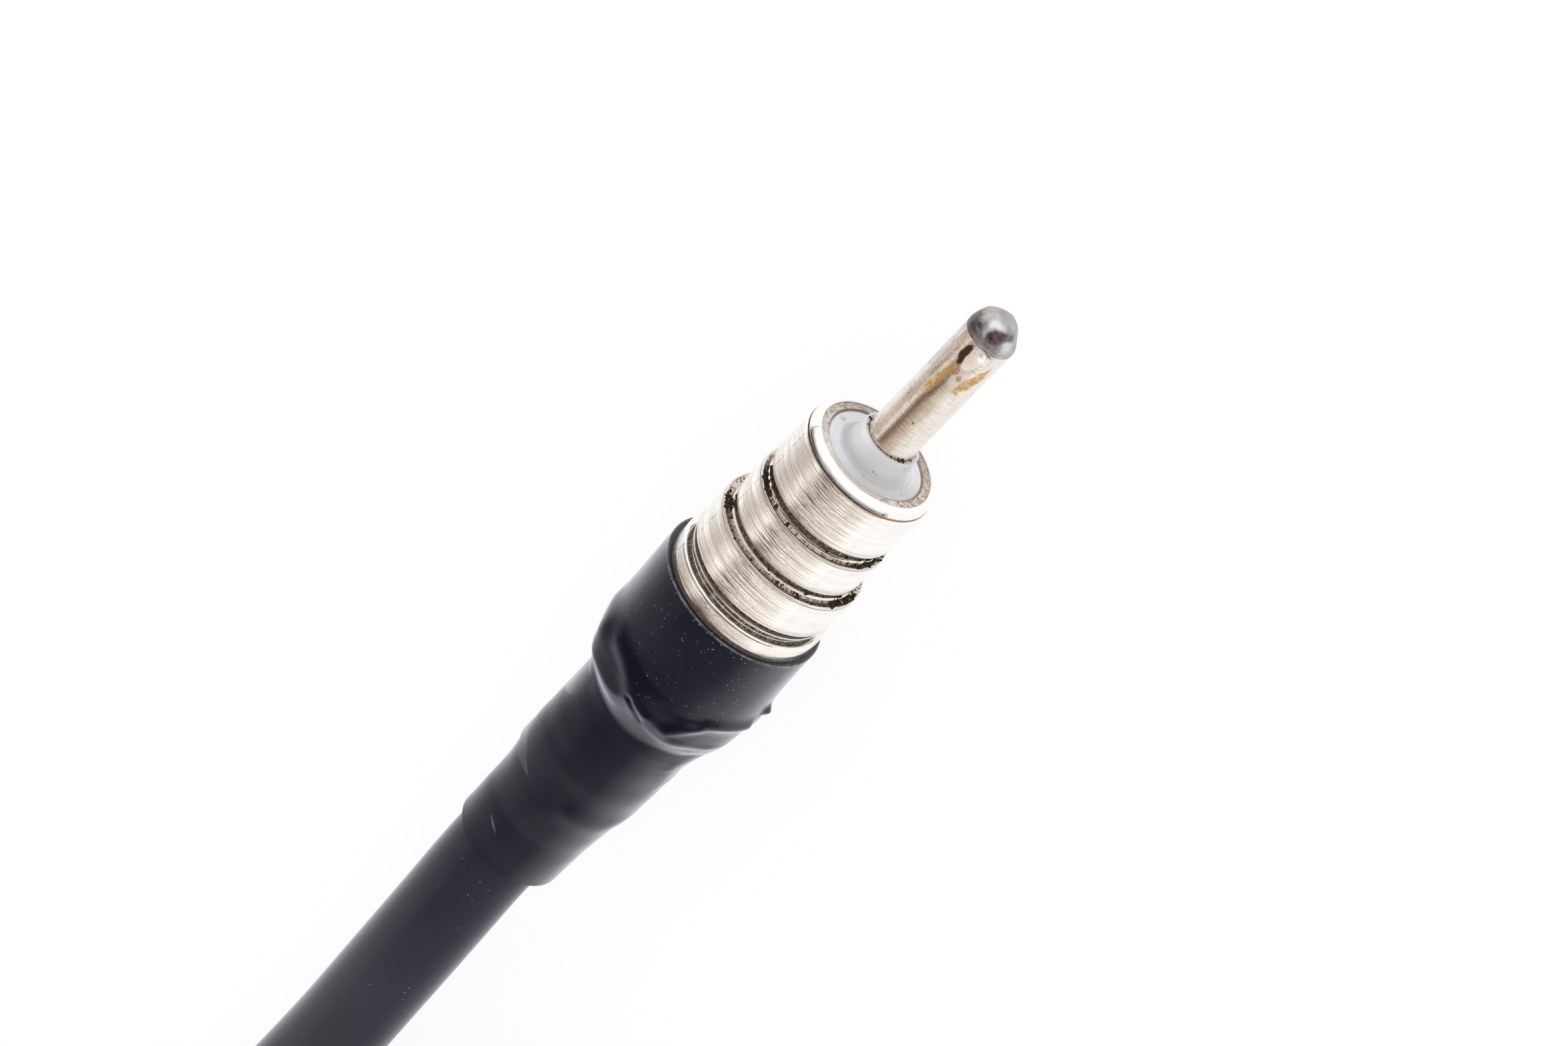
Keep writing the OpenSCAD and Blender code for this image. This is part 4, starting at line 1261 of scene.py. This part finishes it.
# The bore, from the back to the front: place and radius
SLEEVE_BORE = [(-23.9, 2.87), (-18.9, 2.87), (-17.5, 3.57), (-8.3, 3.6), (-7.3, 4.85), (-0.4, 4.84)]


def on_line(x, s, points, width):
    """How near (x, s) is to a line, as 1 on it and fading over width, in arrays."""
    near = np.full(np.broadcast(x, s).shape, 1e9)
    points = [np.array([place, SKIN_R * math.radians(degrees)]) for place, degrees in points]
    for a, b in zip(points, points[1:]):
        run = b - a
        t = np.clip(((x - a[0]) * run[0] + (s - a[1]) * run[1]) / (run @ run), 0, 1)
        near = np.minimum(near, (x - a[0] - t * run[0]) ** 2 + (s - a[1] - t * run[1]) ** 2)
    return np.exp(-near / width**2)


def table_at(table, column, x):
    rows = sorted(table)
    return np.interp(x, [row[0] for row in rows], [row[column] for row in rows])


def soften(values, passes=2):
    for _ in range(passes):
        inner = (values[:-2] + 2 * values[1:-1] + values[2:]) / 4
        values = np.concatenate([values[:1], inner, values[-1:]])
    return values


def fold(side, xs, x, d):
    """Radius of the skin with the fold in it, from the radius at its sides."""
    # Facing up, the tube keeps the collar's radius up to the fold, then drops. The drop lies
    # further back and is steeper at the fold's two sides, and beside the pinch
    aside = eased((np.abs(d) - 2) / 32)
    far_side = np.clip((np.abs(d) - 45) / 35, 0, 1)
    beside = np.exp(-(((d + 19) / 9) ** 2))
    centre = -8.65 - 0.3 * aside - 0.1 * far_side - 0.12 * beside
    half = 1.45 - 0.55 * aside - 0.15 * beside
    top = soften(table_at(TOP_TABLE, 1, xs), 3)[:, None]
    top = top + (SLEEVE_R - top) * (1 - eased((centre + half - x) / (2 * half)))
    facing = eased(np.where(d < 0, (80 + d) / 32, (95 - d) / 36))
    r = side * (1 - facing) + top * facing
    s = SKIN_R * np.radians(d)
    for points, height, width in RIDGES:
        r = r + height * on_line(x, s, points, width)
    for px, pd, height, front, back, wide in SPOTS:
        along = (x - px) / np.where(x > px, front, back)
        away = along**2 + ((s - SKIN_R * math.radians(pd)) / wide) ** 2
        r = r + height * np.exp(-away)
    return r


def sleeve_skin(xs, degrees, seed, folded):
    """Middle shift and radius of the skin at places xs and angles round the axis."""
    x, d = xs[:, None], degrees[None, :]
    shift, side = [soften(table_at(SIDES_TABLE, column, xs), 6)[:, None] for column in (1, 2)]
    r = fold(side, xs, x, d) if folded else side + 0 * d
    ways = [(1.2 * math.cos(a), 1.2 * math.sin(a) + seed) for a in np.radians(degrees)]
    swell = [[noise.noise(Vector((px * 0.28, *way))) for way in ways] for px in xs]
    r = r + 0.07 * np.array(swell) * np.clip((-x - 1.0) / 4, 0, 1)
    return shift * (1 if folded else 0.2), r


def make_sleeve(name, finish, place, shift_x, seed, folded):
    """The sleeve as a grid, with its rings closest at the fold, and its bore inside."""
    sides = 208
    steps = [(-0.9, 8), (-4.5, 30), (-11.5, 160), (SLEEVE_BACK, 100)]
    starts = [SLEEVE_FRONT, *[end for end, _ in steps]]
    stretches = [np.linspace(a, b, count)[:-1] for a, (b, count) in zip(starts, steps)]
    xs = np.concatenate([*stretches, [SLEEVE_BACK]])
    degrees = all_round(sides)
    shift, skin = sleeve_skin(xs, degrees, seed, folded)
    turn = np.radians(degrees)
    outward = np.cos(turn)[:, None] * FACING + np.sin(turn)[:, None] * ACROSS
    rows = [(x, outward * skin[i][:, None] + ACROSS * shift[i]) for i, x in enumerate(xs)]
    rows += [(x, r * outward) for x, r in SLEEVE_BORE]
    points = np.concatenate([ring + [x, 0, 0] for x, ring in rows])
    points[:, 0] += shift_x
    points[:, 2] = np.maximum(points[:, 2], 0.01 - place.origin[2])
    return build(name, points, ring_faces(len(rows), sides, True), finish, place)


def sleeve_finish(name, place, front, rear):
    look = Finish(name, place, Specular_IOR_Level=0.14, Coat_Roughness=0.22, **RUBBER)
    spot = look.spot()
    x, y, z = look.parts(spot)
    turn = look.turn(y, z)
    bloom = look.noise(spot, 0.25, 4, 0.55)
    grain = look.noise(spot, 8.0, 3, 0.62)
    scuff = look.streaks(spot, (0.5, 2.2, 2.2), 3, 0.6)
    dust_where = look.rise(look.noise(spot, 0.35, 2, 0.5), 0.40, 0.6)
    edge = look.rise(look.size(y, z), 5.03, 5.09)
    lip = look.rise(x + grain * 0.10, front - 0.07, front + 0.01) * edge
    lip = lip * (0.35 + 0.65 * look.rise(scuff, 0.4, 0.6))
    near_lip = look.rise(x, front - 1.6, front - 0.1)
    forward = look.rise(x, front - 9, front - 4) * 0.7
    dust_where = look.largest(dust_where * forward, near_lip)
    dust = look.specks(spot, 2.9, 0.07, 0.13) * dust_where
    dark, light = (0.0008, 0.0012, 0.0078), (0.0028, 0.0034, 0.0128)
    look.colour = look.ramp(bloom, (0.3, dark), (0.75, light))
    look.paint(lip * 0.8, (0.17, 0.175, 0.20))
    nick = look.patch(x + (turn + 19) * 0.028, turn, (rear + 2.25, -19), (0.17, 13), scuff * 0.4)
    look.paint(nick * 0.5, (0.15, 0.12, 0.11))
    look.paint(dust * 0.7, (0.42, 0.42, 0.43))
    # Both sides were rubbed smooth, and shine more than the top
    upper_side = look.fall(turn, -72, -40) * look.rise(x, front - 15.5, front - 11.5) * 0.6
    rubbed = look.largest(upper_side, look.rise(turn, 22, 50) * 0.75)
    look.feed("Coat Weight", rubbed * look.rise(bloom, 0.2, 0.45))
    rough = 0.26 + bloom * 0.16 + scuff * 0.08 + dust * 0.2
    return look.done(rough, grain * 0.4 + scuff * 0.6, 0.012)


plug_rubber = sleeve_finish("plug_sleeve_rubber", PLUG, SLEEVE_FRONT, SLEEVE_BACK)
sleeve = make_sleeve("sleeve", plug_rubber, PLUG, 0, 3.0, True)

# %% [markdown]
# ## Socket
# The far end of the lead carries an in-line socket with the same collar, crimp and sleeve. Its
# shell is one turned tube. The brass grip ring, the contact and the insulator inside keep the
# shapes of their solids and get their own finishes.

# %% Socket pieces
SHELL = [
    (-26.6, 4.55, 0), (-7.1, 4.55, 0), (-7.1, 4.85, 0), (-0.4, 4.85, 0.1),
    (0, 5.25, 0.12), (0, 5.6, 0.2), (-0.4, 6.0, 0.25), (-27.2, 6.0, 0.25),
    (-27.6, 5.6, 0.2), (-27.6, 3.6, 0), (-32.1, 3.6, 0.1), (-32.1, 2.15, 0), (-26.6, 2.15, 0),
]
socket_nickel = nickel_finish("socket_nickel", SOCKET, dull=0.68, dirt_and_shade_bands=[(-27.72, -27.6, 0.8)])
socket_shell = turned("socket_shell_dressed", SHELL, socket_nickel, SOCKET, sides=192)
socket_collar = turned(
    "socket_collar_dressed", COLLAR, socket_nickel, SOCKET, 160, SOCKET_COLLAR_X
)
socket_rubber = sleeve_finish("socket_sleeve_rubber", SOCKET, -28.8, -52.3)
socket_sleeve = make_sleeve(
    "socket_sleeve_dressed", socket_rubber, SOCKET, SOCKET_COLLAR_X - PLUG_COLLAR_X, 9.0, False
)

# %% [markdown]
# ## Finishes for the solids that keep their shape
# Inside the connectors some solids show only at their ends or not at all: the crimp, braid, core
# and the socket's insides. They keep their shape and get plain workshop finishes with their own
# grain.


# %% Inner finishes
# Marks left by turning, and by drawing wire
TURNED, DRAWN = (9, 0.6, 0.6), (1.2, 7, 7)
# Roughness, marks, a light and a dark shade, and the shade of wear
METALS = {
    "hidden_nickel": (0.22, TURNED, (0.80, 0.75, 0.69), (0.66, 0.61, 0.56), (0.55, 0.48, 0.40)),
    "contact_brass": (0.22, TURNED, (0.86, 0.70, 0.42), (0.74, 0.57, 0.30), (0.52, 0.36, 0.18)),
    "copper": (0.28, DRAWN, (0.80, 0.47, 0.30), (0.66, 0.35, 0.21), (0.40, 0.20, 0.12)),
}
# Roughness, and a light and a dark shade
PLASTICS = {
    "dielectric_plastic": (0.35, (0.84, 0.84, 0.81), (0.76, 0.76, 0.74)),
    "jacket_end_rubber": (0.4, (0.020, 0.020, 0.027), (0.030, 0.030, 0.037)),
}
# What a solid is made of, by the end of its name
INNER = {
    "ferrule": "hidden_nickel",
    "jacket_end": "jacket_end_rubber",
    "braid_end": "copper",
    "dielectric_end": "dielectric_plastic",
    "core_wire": "copper",
    "socket_insulator": "dielectric_plastic",
    "contact": "contact_brass",
    "grip_ring": "contact_brass",
}


def metal_finish(name, place, rough, marks, light, dark, worn):
    look = Finish(name, place, Metallic=1.0)
    spot = look.spot()
    fine = look.streaks(spot, marks, 3, 0.65)
    look.colour = look.mix(fine, light, dark)
    look.paint(look.rise(look.noise(spot, 0.7, 3, 0.6), 0.5, 0.75) * 0.4, worn)
    return look.done(rough + fine * 0.15, fine, 0.01)


def plastic_finish(name, place, rough, light, dark):
    look = Finish(name, place, IOR=1.49)
    spot = look.spot()
    look.colour = look.mix(look.noise(spot, 0.8, 4, 0.6), light, dark)
    grain = look.noise(spot, 7.0, 2, 0.6)
    return look.done(rough + grain * 0.15, grain, 0.008)


def dress_nodes(place, prefix, nodes):
    """Gives the nodes that keep their shape their finishes, made for their end of the lead."""
    made = {kind: metal_finish(prefix + kind, place, *facts) for kind, facts in METALS.items()}
    for kind, facts in PLASTICS.items():
        made[kind] = plastic_finish(prefix + kind, place, *facts)
    for name, node in nodes.items():
        for end in INNER:
            if name.endswith(end):
                node.data.materials.clear()
                node.data.materials.append(made[INNER[end]].material)


socket_nodes = {n: node for n, node in frame["nodes"].items() if n.startswith("socket_")}
plug_nodes = {n: node for n, node in frame["nodes"].items() if n not in socket_nodes}
dress_nodes(PLUG, "plug_", plug_nodes)
dress_nodes(SOCKET, "socket_", socket_nodes)

# %% [markdown]
# ## Cable ties
# Two ties hold the coil. Each is a flat nylon band that ends in a head. The band's tail comes up
# through a window in the head and is cut flush above it. The band is a bevelled strip swept round
# a rounded rectangle, and the head is a stack of rounded rectangles of changing size.

# %% Ties
TIE_T, TIE_W = 0.6, 3.6
# Width of the band's bevelled edge, and the gap between the lead and the band
BEVEL, GAP = 0.12, 0.3
HEAD_LONG, HEAD_HIGH = 5, 3


def band_line(low, high, top, corner, steps=10):
    """The band's middle line: a rectangle with round corners, as points across and up."""
    half = TIE_T / 2
    left, right, bottom, roof = low - half, high + half, half, top + half
    r = corner + half
    line = []
    for cx, cz, start in (
        (right - r, bottom + r, -90),
        (right - r, roof - r, 0),
        (left + r, roof - r, 90),
        (left + r, bottom + r, 180),
    ):
        for k in range(steps + 1):
            a = math.radians(start + 90 * k / steps)
            line.append((cx + r * math.cos(a), cz + r * math.sin(a)))
    return line


def tie_frame(share):
    """How far in, out and up the band goes at a share of a turn."""
    radii = [coil_radius(share + n) for n in range(int(COIL_TURNS - share) + 1)]
    room = LEAD_D / 2 + GAP
    return min(radii) - room, max(radii) + room, HIGH_Z + room


def rounded_box(levels, corner, steps=5):
    """Rings of a block with an upright axis, from levels of (half length, half width, height)."""
    rings = []
    for half_long, half_wide, height in levels:
        r = min(corner, 0.9 * half_long, 0.9 * half_wide)
        for sx, sy, start in ((1, 1, 0), (-1, 1, 90), (-1, -1, 180), (1, -1, 270)):
            for k in range(steps + 1):
                a = math.radians(start + 90 * k / steps)
                across = sx * (half_long - r) + r * math.cos(a)
                rings.append((across, sy * (half_wide - r) + r * math.sin(a), height))
    return rings, 4 * (steps + 1)


def tie_block(levels, corner, middle, base):
    """Points and faces of a block of the tie, closed where its last level meets its first."""
    rings, sides = rounded_box(levels, corner)
    faces = ring_faces(len(levels), sides, True, base)
    return [(middle + x, y, z) for x, y, z in rings], faces


def make_tie(name, share, finish):
    low, high, top = tie_frame(share)
    line = band_line(low, high, top, 2)
    w, t = TIE_W / 2, TIE_T / 2
    shape = [
        (BEVEL - w, -t), (w - BEVEL, -t), (w, BEVEL - t), (w, t - BEVEL),
        (w - BEVEL, t), (BEVEL - w, t), (-w, t - BEVEL), (-w, BEVEL - t),
    ]
    points = []
    for last, (px, pz), following in zip(line[-1:] + line[:-1], line, line[1:] + line[:1]):
        step = np.subtract(following, last)
        step /= np.linalg.norm(step)
        points += [(px + step[1] * up, across, pz - step[0] * up) for across, up in shape]
    faces = ring_faces(len(line), len(shape), True)
    foot, roof = top + t, top + t + HEAD_HIGH
    head = [
        (2.0, 2.1, foot), (2.5, 2.5, foot + 0.5), (2.5, 2.5, roof - 0.8),
        (2.3, 2.3, roof - 0.35), (2.0, 2.1, roof - 0.25), (0.85, 2.0, roof - 0.25),
        (0.7, 1.92, roof - 0.45), (0.7, 1.92, foot),
    ]
    stub = [
        (0.02, 0.02, foot + 0.1), (0.3, 1.8, foot + 0.1), (0.3, 1.8, roof - 0.05),
        (0.25, 1.75, roof), (0.02, 0.02, roof),
    ]
    for levels, corner in ((head, 0.45), (stub, 0.06)):
        more, more_faces = tie_block(levels, corner, low + 2 + HEAD_LONG / 2, len(points))
        points += more
        faces += more_faces
    out = direction(90 - SLOPE + 360 * share)
    side = np.array([-out[1], out[0], 0])
    rise = np.array([0, 0, 1.0])
    placed = [coil_centre * [1, 1, 0] + out * px + side * w + rise * pz for px, w, pz in points]
    return build(name, placed, faces, finish)


tie_nylon = plastic_finish("tie_plastic", PLUG, 0.3, (0.016, 0.016, 0.018), (0.028, 0.028, 0.030))
tie_a = make_tie("tie_a", 0.25, tie_nylon)
tie_b = make_tie("tie_b", 0.75, tie_nylon)

# %% [markdown]
# ## Riding on the body
# Every piece rides on the one body, and the solids that it stands for are hidden. Each row of the
# table also gives the finish slot that the piece takes.

# %% Ride, and the hidden solids
DRESSED = [
    (barrel, "barrel_nickel", ["plug_barrel"]),
    (collar, "barrel_nickel", ["rear_collar"]),
    (crumbs, "barrel_nickel", ["plug_barrel"]),
    (insulator, "insulator_plastic", ["plug_insulator"]),
    (pin, "pin_nickel", ["centre_pin"]),
    (cap, "solder", ["pin_solder"]),
    (sleeve, "sleeve_rubber", ["shrink_sleeve"]),
    (lead, "jacket_rubber", ["lead_run", "lead_coil", "lead_tail"]),
    (socket_shell, "barrel_nickel", ["socket_shell"]),
    (socket_collar, "barrel_nickel", ["socket_collar"]),
    (socket_sleeve, "sleeve_rubber", ["socket_sleeve"]),
    (tie_a, "tie_plastic", ["coil_ties"]),
    (tie_b, "tie_plastic", ["coil_ties"]),
]
for piece, slot, nodes in DRESSED:
    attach(piece, "root")
    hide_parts(*nodes)

# The black pieces don't show in the plug's metal either
cable_ends = ("ferrule", "jacket_end", "braid_end", "dielectric_end", "core_wire")
for piece in [tie_a, tie_b, socket_sleeve, *[socket_nodes["socket_" + end] for end in cable_ends]]:
    piece.visible_glossy = False

# %% View settings
bpy.context.scene.view_settings.view_transform = "Standard"
